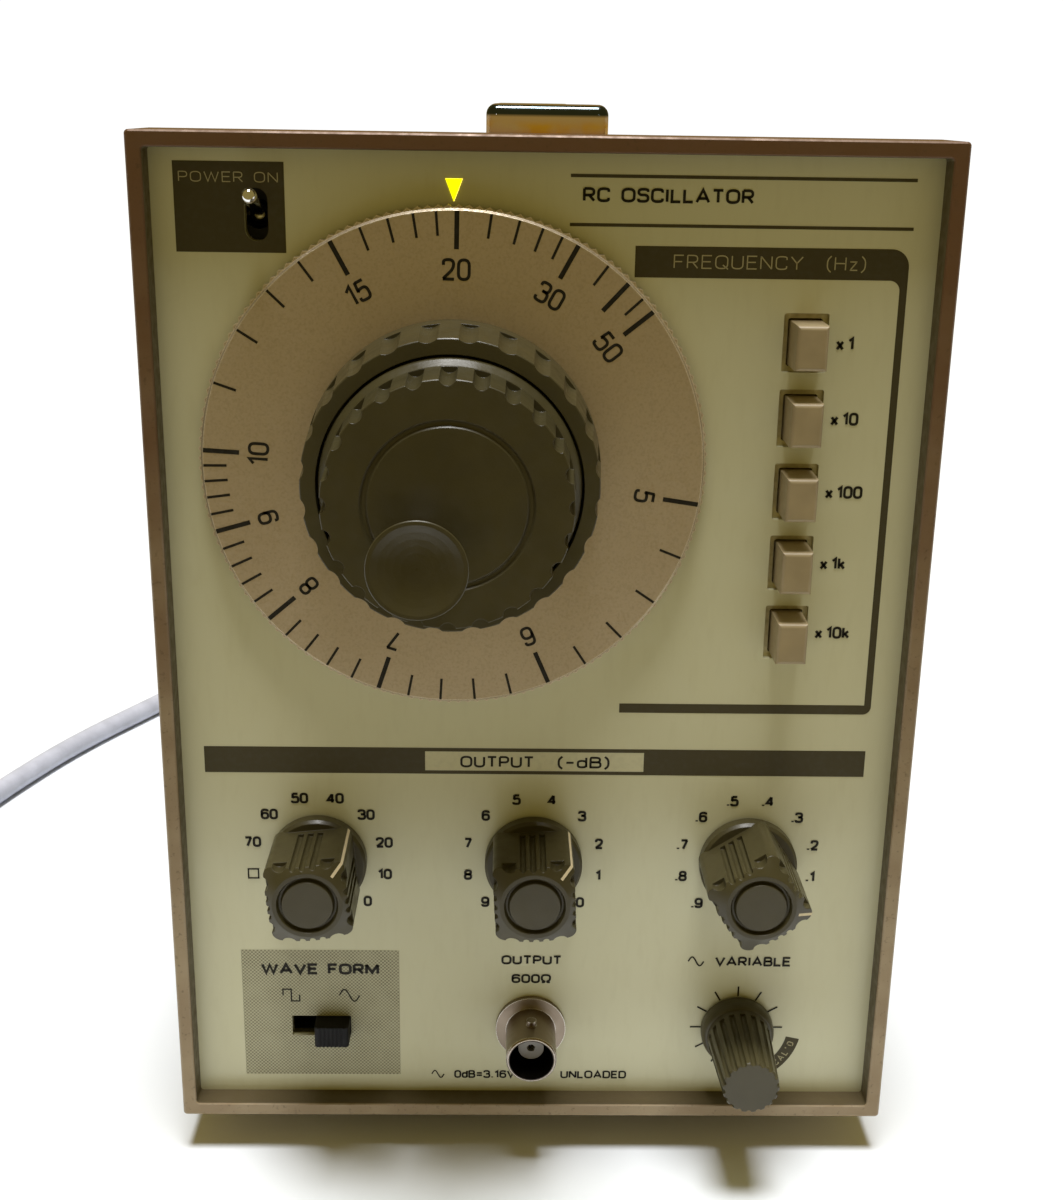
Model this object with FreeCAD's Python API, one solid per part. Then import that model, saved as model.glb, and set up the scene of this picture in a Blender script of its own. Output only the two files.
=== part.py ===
"""Bench RC oscillator: a portrait-format sine and square wave generator with a large tuning dial.

Units are millimetres. X runs to the right, Y into the case and Z up. The origin is on the table,
under the centre of the instrument's box measured without its mains lead. Most places are given as
x, depth behind the frame's front face, and height above the frame's lower edge.
"""
import FreeCAD
import Part

import math
import os

# ---- driving dimensions --------------------------------------------------------------------
FRAME_WIDTH = 137.0
FRAME_HEIGHT = 185.4
FRAME_DEPTH = 16.0
FRAME_LIP = 2.7
FRAME_WALL = 1.4
FRAME_CORNER = 0.7
FOOT_GAP = 8.0                      # table to the frame's lower edge
CASE_DEPTH = 232.0                  # frame face to the rear edge of the covers
REAR_REACH = 244.0                  # frame face to the tip of the fuse holder
SPINNER_REACH = 36.8                # frame face to the tip of the crank spinner
FACE_Y = (SPINNER_REACH - REAR_REACH) / 2

PANEL_FRONT = 4.5
PANEL_THICK = 1.0
SUB_THICK = 1.5
PANEL_WIDTH = FRAME_WIDTH - 2 * FRAME_WALL - 0.2
PANEL_HEIGHT = FRAME_HEIGHT - 2 * FRAME_WALL - 0.2
PANEL_BACK = PANEL_FRONT + PANEL_THICK
SUB_BACK = PANEL_BACK + SUB_THICK
SUB_FLANGE = 7.0

CASE_HALF = 65.0
CASE_TOP = 180.9
CASE_BOTTOM = 3.4
SHEET = 1.2

DIAL_X, DIAL_Z = -15.6, 130.3
DIAL_RADIUS = 43.4
KNURL_RADIUS = 43.95
KNURL_TEETH = 160
DIAL_FRONT, DIAL_BACK = 1.3, 3.9

COARSE_RADIUS = 24.5                # at its front rim
COARSE_FRONT = -15.0
RECESS_RADIUS = 21.9
RECESS_FLOOR = -9.2
FINE_FLANGE_RADIUS = 21.5
FINE_FLANGE_FRONT = -14.6            # where its sloping shoulder starts
CROWN_BACK = -16.5
FINE_RADIUS = 20.0                  # at its front face
FINE_FRONT = -26.8
KNOB_FLUTES = 24

CRANK_RADIUS = 8.6
CRANK_ANGLE = 210.0                 # clockwise from the top, seen from the front
SPINNER_RADIUS = 7.9

SHAFT_RADIUS = 3.0
RUNNING = 0.05                      # radial clearance of every turning shaft

ATTENUATOR_X = (-41.1, -0.6, 39.9)
ATTENUATOR_Z = 53.8
ATTENUATOR_POINTS_AT = (39.0, 42.0, 102.0)
ATTENUATOR_NAMES = ("tens", "units", "tenths")
LEVEL_X, LEVEL_Z = 39.9, 17.5
LEVEL_POINTS_AT = -148.0

BUTTON_X = 44.4
BUTTON_TOP_Z = 151.9
BUTTON_PITCH = 13.05
BUTTON_COUNT = 5
BUTTON_WIDTH, BUTTON_HEIGHT = 5.4, 7.6
BUTTON_FRONT = -2.5
BUTTON_BACK = 8.0
BANK_FRONT = 17.0

POWER_X, POWER_Z = -48.4, 172.0
POWER_TILT = 16.0
POWER_PIVOT = 9.5

SLIDE_X, SLIDE_Z = -41.5, 17.4
SLIDE_SLOT, SLIDE_HIGH = 11.5, 4.4
ACTUATOR_WIDTH = 6.6

BNC_X, BNC_Z = -0.6, 17.5
BNC_MOUTH = -7.2

POINTER_Z = 174.6                   # tip of the pointer window
POINTER_WIDTH, POINTER_HIGH = 2.8, 3.6

BOARD_Z = 20.0
TRAY_Z = 6.0

FUSE_X, FUSE_Z = 20.0, 24.0

CORD_DIAMETER = 6.0
GLAND_X, GLAND_Z = -28.0, 22.0
GLAND_TIP = 258.0
CORD_ROUTE = [                      # in the part's own X, Y, Z, from the gland's tip to the coil
    (-28.0, 154.4, 30.0),
    (-28.2, 170.0, 29.2),
    (-31.0, 188.0, 26.0),
    (-42.5, 205.5, 20.5),
    (-61.5, 212.5, 14.0),
    (-81.5, 207.0, 8.2),
    (-96.0, 190.0, 4.2),
    (-105.5, 163.0, 3.0),
    (-122.0, 129.5, 3.0),
    (-141.5, 93.0, 3.0),
    (-154.0, 58.5, 3.0),
    (-160.0, 36.0, 3.0),
    (-161.5, 14.0, 3.0),
]
COIL_MID_RADIUS = 35.5              # the middle of the coil's turns
COIL_COLUMNS = 4                    # turns side by side in its lower layer
COIL_HIGH = 2.1 * CORD_DIAMETER     # two nested layers
COIL_X = CORD_ROUTE[-1][0] - COIL_MID_RADIUS - (COIL_COLUMNS - 1) / 2 * CORD_DIAMETER
COIL_Y = CORD_ROUTE[-1][1]
PLUG_WIDTH, PLUG_LONG, PLUG_HIGH = 24.0, 26.0, 16.0
PLUG_BOOT = 26.0
BLADE_APART = 12.7

X = FreeCAD.Vector(1, 0, 0)
Y = FreeCAD.Vector(0, 1, 0)
Z = FreeCAD.Vector(0, 0, 1)


# ---- helpers -------------------------------------------------------------------------------
def at(x, depth, z):
    """A point from x, depth behind the frame's face and height above the frame's lower edge."""
    return FreeCAD.Vector(x, FACE_Y + depth, FOOT_GAP + z)


def box(x0, x1, d0, d1, z0, z1):
    return Part.makeBox(x1 - x0, d1 - d0, z1 - z0, at(x0, d0, z0))


def rod(x, z, radius, d0, d1):
    """A cylinder along the depth axis."""
    return Part.makeCylinder(radius, d1 - d0, at(x, d0, z), Y)


def post(x, depth, radius, z0, z1):
    """An upright cylinder."""
    return Part.makeCylinder(radius, z1 - z0, at(x, depth, z0), Z)


def ring(x, z, outer, inner, d0, d1):
    return rod(x, z, outer, d0, d1).cut(rod(x, z, inner, d0 - 1, d1 + 1))


def turned(x, z, outline):
    """A solid of revolution about the depth axis from (radius, depth) points."""
    points = [at(x + radius, depth, z) for radius, depth in outline]
    face = Part.Face(Part.makePolygon(points + points[:1]))
    return face.revolve(at(x, 0, z), Y, 360)


def slab(x, z, width, height, radius, d0, d1):
    """A rounded rectangle extruded along the depth axis."""
    body = box(x - width / 2, x + width / 2, d0, d1, z - height / 2, z + height / 2)
    corners = [e for e in body.Edges if abs(e.tangentAt(e.FirstParameter).y) > 0.99]
    return body.makeFillet(radius, corners)


def hexagon(x, z, across_flats, bore, d0, d1):
    """A nut with its bore along the depth axis."""
    reach = across_flats / 2 / math.cos(math.pi / 6)
    turns = [math.radians(60 * k) for k in range(6)]
    points = [at(x + reach * math.cos(a), d0, z + reach * math.sin(a)) for a in turns]
    face = Part.Face(Part.makePolygon(points + points[:1]))
    return face.extrude(Y * (d1 - d0)).cut(rod(x, z, bore, d0 - 1, d1 + 1))


def around(x, z, radius, degrees):
    """The x and z of a point at a clockwise angle from the top, seen from the front."""
    a = math.radians(degrees)
    return x + radius * math.sin(a), z + radius * math.cos(a)


def flutes(x, z, count, radius, rear, front, phase):
    """Rods that cut grip flutes; rear and front are the (radius, depth) ends of their axes."""
    cutters = []
    for k in range(count):
        angle = phase + 360.0 * k / count
        x0, z0 = around(x, z, rear[0], angle)
        x1, z1 = around(x, z, front[0], angle)
        start = at(x0, rear[1], z0)
        run = at(x1, front[1], z1) - start
        cutters.append(Part.makeCylinder(radius, run.Length, start, run))
    return cutters


def front_edges(body, depth):
    """The edges of a body that lie wholly in the plane at one depth."""
    level = FACE_Y + depth
    flat = []
    for edge in body.Edges:
        bounds = edge.BoundBox
        if abs(bounds.YMin - level) < 1e-4 and abs(bounds.YMax - level) < 1e-4:
            flat.append(edge)
    return flat


def button_heights():
    return [BUTTON_TOP_Z - BUTTON_PITCH * k for k in range(BUTTON_COUNT)]


# ---- frame, panels and case ----------------------------------------------------------------
def front_frame():
    """A deep rectangular bezel with a lip that the printed panel sits behind."""
    middle = FRAME_HEIGHT / 2
    body = slab(0, middle, FRAME_WIDTH, FRAME_HEIGHT, FRAME_CORNER, 0, FRAME_DEPTH)
    lip_width = FRAME_WIDTH - 2 * FRAME_LIP
    lip_height = FRAME_HEIGHT - 2 * FRAME_LIP
    body = body.cut(slab(0, middle, lip_width, lip_height, 0.6, -1, PANEL_FRONT + 1))
    pocket_width = FRAME_WIDTH - 2 * FRAME_WALL
    pocket_height = FRAME_HEIGHT - 2 * FRAME_WALL
    body = body.cut(slab(0, middle, pocket_width, pocket_height, 0.3, PANEL_FRONT, FRAME_DEPTH + 1))
    return body.makeChamfer(0.3, front_edges(body, 0))


def panel_cutouts(d0, d1, button_width, button_height, bushings):
    """What every panel layer is pierced by; the bushing radius differs between layers."""
    cutters = [
        slab(POWER_X, POWER_Z, 3.9, 8.6, 1.9, d0, d1),
        box(SLIDE_X - SLIDE_SLOT / 2, SLIDE_X + SLIDE_SLOT / 2, d0, d1,
            SLIDE_Z - SLIDE_HIGH / 2, SLIDE_Z + SLIDE_HIGH / 2),
        rod(BNC_X, BNC_Z, 4.8, d0, d1),
        rod(DIAL_X, DIAL_Z, 7.1, d0, d1),
        rod(LEVEL_X, LEVEL_Z, 3.6, d0, d1),
    ]
    cutters += [rod(x, ATTENUATOR_Z, bushings, d0, d1) for x in ATTENUATOR_X]
    for z in button_heights():
        cutters.append(slab(BUTTON_X, z, button_width, button_height, 0.4, d0, d1))
    return cutters


def pointer_outline(grow, d0, d1):
    """The downward triangle of the lit pointer."""
    half = POINTER_WIDTH / 2 + grow
    points = [
        at(DIAL_X - half, d0, POINTER_Z + POINTER_HIGH + grow),
        at(DIAL_X + half, d0, POINTER_Z + POINTER_HIGH + grow),
        at(DIAL_X, d0, POINTER_Z - 2 * grow),
    ]
    return Part.Face(Part.makePolygon(points + points[:1])).extrude(Y * (d1 - d0))


def front_panel():
    """The printed panel, with a wider opening round each push-button."""
    body = slab(0, FRAME_HEIGHT / 2, PANEL_WIDTH, PANEL_HEIGHT, 0.3, PANEL_FRONT, PANEL_BACK)
    cutters = panel_cutouts(PANEL_FRONT - 1, PANEL_BACK + 1, 7.7, 10.1, 4.8)
    cutters.append(pointer_outline(0.05, PANEL_FRONT - 1, PANEL_BACK + 1))
    return body.cut(cutters)


def sub_panel():
    """The steel pan behind the printed panel that every control is mounted on."""
    middle = FRAME_HEIGHT / 2
    body = slab(0, middle, PANEL_WIDTH, PANEL_HEIGHT, 0.3, PANEL_BACK, SUB_BACK + SUB_FLANGE)
    inner_width = PANEL_WIDTH - 2 * SUB_THICK
    inner_height = PANEL_HEIGHT - 2 * SUB_THICK
    hollow = box(-inner_width / 2, inner_width / 2, SUB_BACK, SUB_BACK + SUB_FLANGE + 1,
                 middle - inner_height / 2, middle + inner_height / 2)
    cutters = panel_cutouts(PANEL_BACK - 1, SUB_BACK + 1, 5.9, 8.2, 4.8)
    lamp = rod(DIAL_X, POINTER_Z + 2.4, 2.6, PANEL_BACK - 1, SUB_BACK + 1)
    return body.cut([hollow, lamp] + cutters)


def side_slots(side):
    """Ventilation slots in one side wall of the top cover."""
    cutters = []
    for k in range(9):
        depth = 120 + 10 * k
        x0 = side * CASE_HALF
        cutters.append(box(min(x0, x0 - side * 3) - 0.5, max(x0, x0 - side * 3) + 0.5,
                           depth, depth + 3.2, 52, 92))
    return cutters


def screw_places():
    """Depth and height of the side screws that hold the two covers together."""
    return [(44.0, 11.0), (196.0, 11.0)]


def top_cover():
    """A folded sheet over the top and both sides."""
    outer = box(-CASE_HALF, CASE_HALF, SUB_BACK + 2, CASE_DEPTH, CASE_BOTTOM + SHEET, CASE_TOP)
    folds = [e for e in outer.Edges
             if abs(e.tangentAt(e.FirstParameter).y) > 0.99 and e.BoundBox.ZMax > FOOT_GAP + CASE_TOP - 1]
    outer = outer.makeFillet(2.0, folds)
    inner = box(-CASE_HALF + SHEET, CASE_HALF - SHEET, SUB_BACK + 1, CASE_DEPTH + 1,
                CASE_BOTTOM, CASE_TOP - SHEET)
    body = outer.cut(inner)
    cutters = side_slots(1) + side_slots(-1)
    for depth, z in screw_places():
        cutters.append(Part.makeCylinder(1.6, 2 * CASE_HALF + 2, at(-CASE_HALF - 1, depth, z), X))
    for depth in handle_depths():
        cutters.append(post(0, depth, 2.1, CASE_TOP - 3, CASE_TOP + 1))
    return body.cut(cutters)


def bottom_cover():
    """A shallow tray under the case, its flanges inside the top cover's sides."""
    inside = CASE_HALF - SHEET - 0.1
    plate = box(-CASE_HALF, CASE_HALF, SUB_BACK + 2, CASE_DEPTH, CASE_BOTTOM, CASE_BOTTOM + SHEET)
    for side in (-1, 1):
        x0 = side * inside
        x1 = side * (inside - SHEET)
        flange = box(min(x0, x1), max(x0, x1), SUB_BACK + SUB_FLANGE + 1, CASE_DEPTH - 3,
                     CASE_BOTTOM + SHEET, CASE_BOTTOM + 14)
        plate = plate.fuse(flange)
    cutters = [post(x, depth, 2.1, CASE_BOTTOM - 1, CASE_BOTTOM + SHEET + 1)
               for x, depth in foot_places()]
    for depth, z in screw_places():
        cutters.append(Part.makeCylinder(1.6, 2 * CASE_HALF + 2, at(-CASE_HALF - 1, depth, z), X))
    for k in range(7):
        cutters.append(box(-30, 30, 110 + 9 * k, 113 + 9 * k, CASE_BOTTOM - 1, CASE_BOTTOM + SHEET + 1))
    return plate.removeSplitter().cut(cutters)


def rear_plate_span():
    """Half width, low and high edge of the rear panel, inside both covers."""
    return CASE_HALF - SHEET - 0.2, CASE_BOTTOM + SHEET + 0.2, CASE_TOP - SHEET - 0.2


def rear_panel():
    """The rear plate, with the mains gland, the fuse holder and ventilation slots."""
    half, low, high = rear_plate_span()
    body = box(-half, half, CASE_DEPTH - 2.0, CASE_DEPTH - 0.5, low, high)
    d0, d1 = CASE_DEPTH - 3, CASE_DEPTH + 1
    cutters = [rod(GLAND_X, GLAND_Z, 6.5, d0, d1), rod(FUSE_X, FUSE_Z, 6.3, d0, d1)]
    for k in range(10):
        x = -40.5 + 9 * k
        cutters.append(slab(x, 140, 3.2, 44, 1.5, d0, d1))
    for x, z in rear_screw_places():
        cutters.append(rod(x, z, 1.6, d0, d1))
    return body.cut(cutters)


def rear_screw_places():
    half, low, high = rear_plate_span()
    return [(x, z) for x in (-half + 7, half - 7) for z in (low + 10, high - 7)]


def chassis():
    """A tray from the sub-panel to the rear panel, with upright sides."""
    half = CASE_HALF - 2 * SHEET - 1.0
    rear = CASE_DEPTH - 2.0
    body = box(-half, half, SUB_BACK, rear, TRAY_Z, TRAY_Z + SHEET)
    for side in (-1, 1):
        x0 = side * half
        x1 = side * (half - SHEET)
        body = body.fuse(box(min(x0, x1), max(x0, x1), SUB_BACK, rear, TRAY_Z, TRAY_Z + 24))
    tab = box(-half, half, rear - SHEET, rear, TRAY_Z, TRAY_Z + 8)
    tall = [box(min(s * half, s * (half - 12)), max(s * half, s * (half - 12)),
                rear - SHEET, rear, TRAY_Z, CASE_TOP - 4) for s in (-1, 1)]
    body = body.fuse([tab] + tall).removeSplitter()
    cutters = [rod(x, z, 1.6, rear - 3, rear + 1) for x, z in rear_screw_places()]
    for x, depth in foot_places():
        cutters.append(post(x, depth, 4.0, TRAY_Z - 1, TRAY_Z + SHEET + 1))
    return body.cut(cutters)


def foot_places():
    return [(x, depth) for x in (-50.0, 50.0) for depth in (32.0, 212.0)]


def feet():
    """Four rubber feet, each with a stud through the bottom cover."""
    solids = []
    for x, depth in foot_places():
        foot = Part.makeCone(7.0, 8.5, CASE_BOTTOM + FOOT_GAP, at(x, depth, -FOOT_GAP), Z)
        stud = post(x, depth, 2.0, CASE_BOTTOM, CASE_BOTTOM + SHEET + 2.0)
        solids.append(foot.fuse(stud).removeSplitter())
    return Part.makeCompound(solids)


def case_screws():
    """Pan-head screws in the case's sides and in the rear panel."""
    solids = []
    for side in (-1, 1):
        outward = X * side
        for depth, z in screw_places():
            head = Part.makeCylinder(2.8, 1.8, at(side * CASE_HALF, depth, z), outward)
            shank = Part.makeCylinder(1.5, 3.0, at(side * (CASE_HALF - 3.0), depth, z), outward)
            solids.append(head.fuse(shank).removeSplitter())
    for x, z in rear_screw_places():
        face = CASE_DEPTH - 0.5
        solids.append(rod(x, z, 2.8, face, face + 1.8).fuse(rod(x, z, 1.5, face - 5, face)).removeSplitter())
    return Part.makeCompound(solids)


# ---- strap handle --------------------------------------------------------------------------
HANDLE_CAP_WIDTH = 21.0
HANDLE_CAP_LONG = 34.0
HANDLE_TOP = 190.2
STRAP_LOW, STRAP_HIGH = 185.3, 188.3


def handle_depths():
    """Depth of the screw in each end cap of the handle."""
    half = HANDLE_CAP_LONG / 2
    return [FRAME_DEPTH + 0.6 + half, CASE_DEPTH - 14.0 - half]


def handle_end_caps():
    """Two plated caps that hold the strap's ends and screw down through the top cover."""
    solids = []
    for depth in handle_depths():
        half = HANDLE_CAP_LONG / 2
        cap = box(-HANDLE_CAP_WIDTH / 2, HANDLE_CAP_WIDTH / 2, depth - half, depth + half,
                  CASE_TOP, HANDLE_TOP)
        top = FOOT_GAP + HANDLE_TOP - 0.001
        rims = [e for e in cap.Edges if e.BoundBox.ZMin > top]
        rims += [e for e in cap.Edges if abs(e.tangentAt(e.FirstParameter).z) > 0.99]
        cap = cap.makeFillet(1.8, rims)
        inward = 1 if depth < CASE_DEPTH / 2 else -1
        d0 = depth - 12 if inward > 0 else depth - half - 1
        d1 = depth + half + 1 if inward > 0 else depth + 12
        pocket = box(-9.2, 9.2, d0, d1, STRAP_LOW - 0.2, STRAP_HIGH + 0.2)
        stud = post(0, depth, 2.0, CASE_TOP - 4, CASE_TOP)
        solids.append(cap.cut(pocket).fuse(stud).removeSplitter())
    return Part.makeCompound(solids)


def handle_strap():
    """The flat strap between the end caps, free to slide in them when it is lifted."""
    first, last = handle_depths()
    strap = box(-9.0, 9.0, first - 8, last + 8, STRAP_LOW, STRAP_HIGH)
    long_edges = [e for e in strap.Edges if abs(e.tangentAt(e.FirstParameter).y) > 0.99]
    return strap.makeFillet(1.2, long_edges)


# ---- tuning dial and its drive -------------------------------------------------------------
def dial_disc():
    """The scale disc, a smooth face in front of a knurled rim."""
    face = turned(DIAL_X, DIAL_Z, [
        (0, DIAL_FRONT),
        (DIAL_RADIUS - 0.35, DIAL_FRONT),
        (DIAL_RADIUS, DIAL_FRONT + 0.35),
        (DIAL_RADIUS, DIAL_FRONT + 0.9),
        (0, DIAL_FRONT + 0.9),
    ])
    points = []
    for k in range(2 * KNURL_TEETH):
        radius = KNURL_RADIUS if k % 2 else KNURL_RADIUS - 0.5
        x, z = around(DIAL_X, DIAL_Z, radius, 180.0 * k / KNURL_TEETH)
        points.append(at(x, DIAL_FRONT + 0.9, z))
    rim = Part.Face(Part.makePolygon(points + points[:1]))
    rim = rim.extrude(Y * (DIAL_BACK - DIAL_FRONT - 0.9))
    bore = rod(DIAL_X, DIAL_Z, 5.0, DIAL_FRONT - 1, DIAL_BACK + 1)
    return face.fuse(rim).cut(bore)


def coarse_knob():
    """The large outer knob, fixed to the dial, with a recess for the fine knob's flange."""
    body = turned(DIAL_X, DIAL_Z, [
        (5.0, DIAL_FRONT),
        (25.3, DIAL_FRONT),
        (25.3, -1.2),
        (COARSE_RADIUS, COARSE_FRONT + 0.15),
        (COARSE_RADIUS - 0.15, COARSE_FRONT),
        (RECESS_RADIUS, COARSE_FRONT),
        (RECESS_RADIUS, RECESS_FLOOR),
        (5.0, RECESS_FLOOR),
    ])
    grip = flutes(DIAL_X, DIAL_Z, KNOB_FLUTES, 2.6, (27.2, -3.0), (COARSE_RADIUS + 1.95, -16.0), 6.7)
    return body.cut(grip)


def fine_knob():
    """The inner vernier knob: a smooth flange and a fluted crown with a grooved flat face."""
    body = turned(DIAL_X, DIAL_Z, [
        (SHAFT_RADIUS, -9.6),
        (FINE_FLANGE_RADIUS, -9.6),
        (FINE_FLANGE_RADIUS, FINE_FLANGE_FRONT),
        (FINE_FLANGE_RADIUS - 0.25, FINE_FLANGE_FRONT - 0.7),
        (20.35, CROWN_BACK),
        (FINE_RADIUS, FINE_FRONT + 0.15),
        (FINE_RADIUS - 0.15, FINE_FRONT),
        (13.8, FINE_FRONT),
        (13.4, FINE_FRONT + 0.4),
        (12.9, FINE_FRONT + 0.4),
        (12.5, FINE_FRONT),
        (0, FINE_FRONT),
        (0, -23.8),
        (SHAFT_RADIUS, -23.8),
    ])
    rear, front = (20.65, CROWN_BACK - 0.3), (FINE_RADIUS + 0.35, FINE_FRONT - 1)
    grip = flutes(DIAL_X, DIAL_Z, KNOB_FLUTES, 1.4, rear, front, 0)
    px, pz = around(DIAL_X, DIAL_Z, CRANK_RADIUS, CRANK_ANGLE)
    return body.cut(grip + [rod(px, pz, 1.5, FINE_FRONT - 1, -21.0)])


def crank_pin():
    """The pin in the fine knob's face that the spinner turns on."""
    x, z = around(DIAL_X, DIAL_Z, CRANK_RADIUS, CRANK_ANGLE)
    head = rod(x, z, 2.0, -34.0, -33.2)
    return rod(x, z, 1.5, -33.2, -21.0).fuse(head).removeSplitter()


def crank_spinner():
    """A dished mushroom knob, turning freely on its pin."""
    x, z = around(DIAL_X, DIAL_Z, CRANK_RADIUS, CRANK_ANGLE)
    dish = []
    for k in range(7):
        radius = (SPINNER_RADIUS - 0.7) * (1 - k / 6)
        sag = 1.5 * (1 - (radius / (SPINNER_RADIUS - 0.7)) ** 2)
        dish.append((radius, -SPINNER_REACH + sag))
    return turned(x, z, dish + [
        (0, -34.2),
        (2.0 + RUNNING, -34.2),
        (2.0 + RUNNING, -33.1),
        (1.5 + RUNNING, -33.1),
        (1.5 + RUNNING, -27.2),
        (4.6, -27.2),
        (4.3, -28.6),
        (4.4, -31.0),
        (5.6, -33.0),
        (6.6, -34.2),
        (SPINNER_RADIUS - 0.1, -36.2),
        (SPINNER_RADIUS, -SPINNER_REACH + 0.15),
        (SPINNER_RADIUS - 0.15, -SPINNER_REACH),
    ])


def fine_shaft():
    """The inner shaft, from the fine knob through the dial's sleeve to the vernier drive."""
    return rod(DIAL_X, DIAL_Z, SHAFT_RADIUS, -23.8, 13.0)


def tuning_shaft():
    """The dial's sleeve, with a solid tail that turns the potentiometer."""
    sleeve = rod(DIAL_X, DIAL_Z, 5.0, RECESS_FLOOR + 0.2, 20.0)
    sleeve = sleeve.cut(rod(DIAL_X, DIAL_Z, SHAFT_RADIUS + RUNNING, -12, 14.0))
    return sleeve.fuse(rod(DIAL_X, DIAL_Z, SHAFT_RADIUS, 20.0, 44.0)).removeSplitter()


def vernier_drive_housing():
    """The round housing of the vernier drive, with a rear wall for the potentiometer."""
    body = turned(DIAL_X, DIAL_Z, [
        (5.0 + RUNNING, 4.4),
        (7.0, 4.4),
        (7.0, SUB_BACK),
        (16.0, SUB_BACK),
        (16.0, 27.0),
        (3.8, 27.0),
        (3.8, 24.0),
        (12.5, 24.0),
        (12.5, 10.0),
        (5.0 + RUNNING, 10.0),
    ])
    return body


def tuning_potentiometer():
    """The dual-gang frequency potentiometer on the back of the drive housing."""
    return turned(DIAL_X, DIAL_Z, [
        (SHAFT_RADIUS + RUNNING, 24.5),
        (3.8, 24.5),
        (3.8, 27.0),
        (12.5, 27.0),
        (12.5, 37.0),
        (11.5, 37.3),
        (11.5, 38.7),
        (12.5, 39.0),
        (12.5, 49.0),
        (0, 49.0),
        (0, 44.5),
        (SHAFT_RADIUS + RUNNING, 44.5),
    ])


def pointer_lens():
    """The translucent triangle above the dial."""
    return pointer_outline(0, PANEL_FRONT - 0.15, PANEL_BACK)


def pilot_lamp():
    """The lamp behind the pointer window, in its clip."""
    z = POINTER_Z + 2.4
    bulb = rod(DIAL_X, z, 2.2, PANEL_BACK + 0.5, 14.0)
    holder = box(DIAL_X - 4, DIAL_X + 4, 14.0, 20.0, z - 7, z + 2.6)
    return bulb.fuse(holder).removeSplitter()


# ---- attenuator and level controls ---------------------------------------------------------
ATTENUATOR_SKIRT = 9.15
ATTENUATOR_HALF = 7.3               # from the axis to each grooved side
ATTENUATOR_REACH = 18.5             # panel face to the knob's flat end


def attenuator_knob(x, points_at):
    """A skirted square knob, one corner its pointer, with grooved sides scooped beside the corners."""
    z = ATTENUATOR_Z
    face = PANEL_FRONT - ATTENUATOR_REACH
    skirt = turned(x, z, [
        (0, PANEL_FRONT - 2.7),
        (8.3, PANEL_FRONT - 2.7),
        (8.3, PANEL_FRONT - 0.6),
        (ATTENUATOR_SKIRT, PANEL_FRONT - 0.6),
        (ATTENUATOR_SKIRT, PANEL_FRONT - 2.7),
        (ATTENUATOR_SKIRT - 0.5, PANEL_FRONT - 3.3),
        (0, PANEL_FRONT - 3.3),
    ])
    side = 2 * ATTENUATOR_HALF
    body = slab(x, z, side, side, 1.5, face - 1, PANEL_FRONT - 2.8)
    cutters = []
    for k in range(4):
        marks = [rod(x + offset, z + ATTENUATOR_HALF - 0.1, 0.55, face - 1, PANEL_FRONT - 4.4)
                 for offset in (-1.8, 0, 1.8)]
        marks += [rod(x + offset, z + ATTENUATOR_HALF + 0.6, 1.4, face - 1, face + 3.2)
                  for offset in (-4.3, 4.3)]
        for mark in marks:
            mark.rotate(at(x, 0, z), Y, 90 * k)
        cutters += marks
    body = body.cut(cutters)
    body.rotate(at(x, 0, z), Y, points_at + 45)
    envelope = turned(x, z, [
        (0, PANEL_FRONT),
        (10.4, PANEL_FRONT),
        (10.4, face + 2.2),
        (6.6, face + 0.15),
        (6.3, face),
        (5.55, face),
        (5.2, face + 0.9),
        (4.8, face + 0.9),
        (4.5, face),
        (0, face),
    ])
    bore = rod(x, z, SHAFT_RADIUS, PANEL_FRONT - 15, PANEL_FRONT)
    return body.common(envelope).fuse(skirt).removeSplitter().cut(bore)


def knob_shaft(x, z, front, back):
    return rod(x, z, SHAFT_RADIUS, front, back)


def rotary_switches():
    """Three wafer switches on the back of the sub-panel."""
    solids = []
    for x in ATTENUATOR_X:
        outline = [(SHAFT_RADIUS + RUNNING, 2.1), (4.7, 2.1), (4.7, SUB_BACK), (13.0, SUB_BACK)]
        depth = SUB_BACK + 1.5
        outline.append((13.0, depth))
        for _ in range(3):
            outline += [(6.0, depth), (6.0, depth + 5), (15.0, depth + 5), (15.0, depth + 6.4)]
            depth += 6.4
        outline.append((SHAFT_RADIUS + RUNNING, depth))
        solids.append(turned(x, ATTENUATOR_Z, outline))
    return Part.makeCompound(solids)


def level_knob():
    """A tall tapered knob with a domed skirt and fine flutes."""
    x, z = LEVEL_X, LEVEL_Z
    base = PANEL_FRONT - 0.7
    dome = []
    for k in range(6):
        a = math.radians(18 * k)
        dome.append((6.15 + 0.95 * math.cos(a), base - 1.2 - 1.9 * math.sin(a)))
    body = turned(x, z, [
        (0, base - 1.6),
        (5.6, base - 1.6),
        (5.6, base),
        (7.1, base),
    ] + dome + [
        (5.3, base - 19.25),
        (5.05, base - 19.5),
        (0, base - 19.5),
    ])
    grooves = flutes(x, z, 18, 0.55, (6.15, base - 4.2), (5.25, base - 20.4), LEVEL_POINTS_AT + 10)
    return body.cut(grooves + [rod(x, z, SHAFT_RADIUS, base - 15, base)])


def level_potentiometer():
    """The output level potentiometer and its bushing."""
    return turned(LEVEL_X, LEVEL_Z, [
        (SHAFT_RADIUS + RUNNING, 2.6),
        (3.5, 2.6),
        (3.5, SUB_BACK),
        (8.0, SUB_BACK),
        (8.0, 16.0),
        (0, 16.0),
        (0, 13.0),
        (SHAFT_RADIUS + RUNNING, 13.0),
    ])


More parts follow.
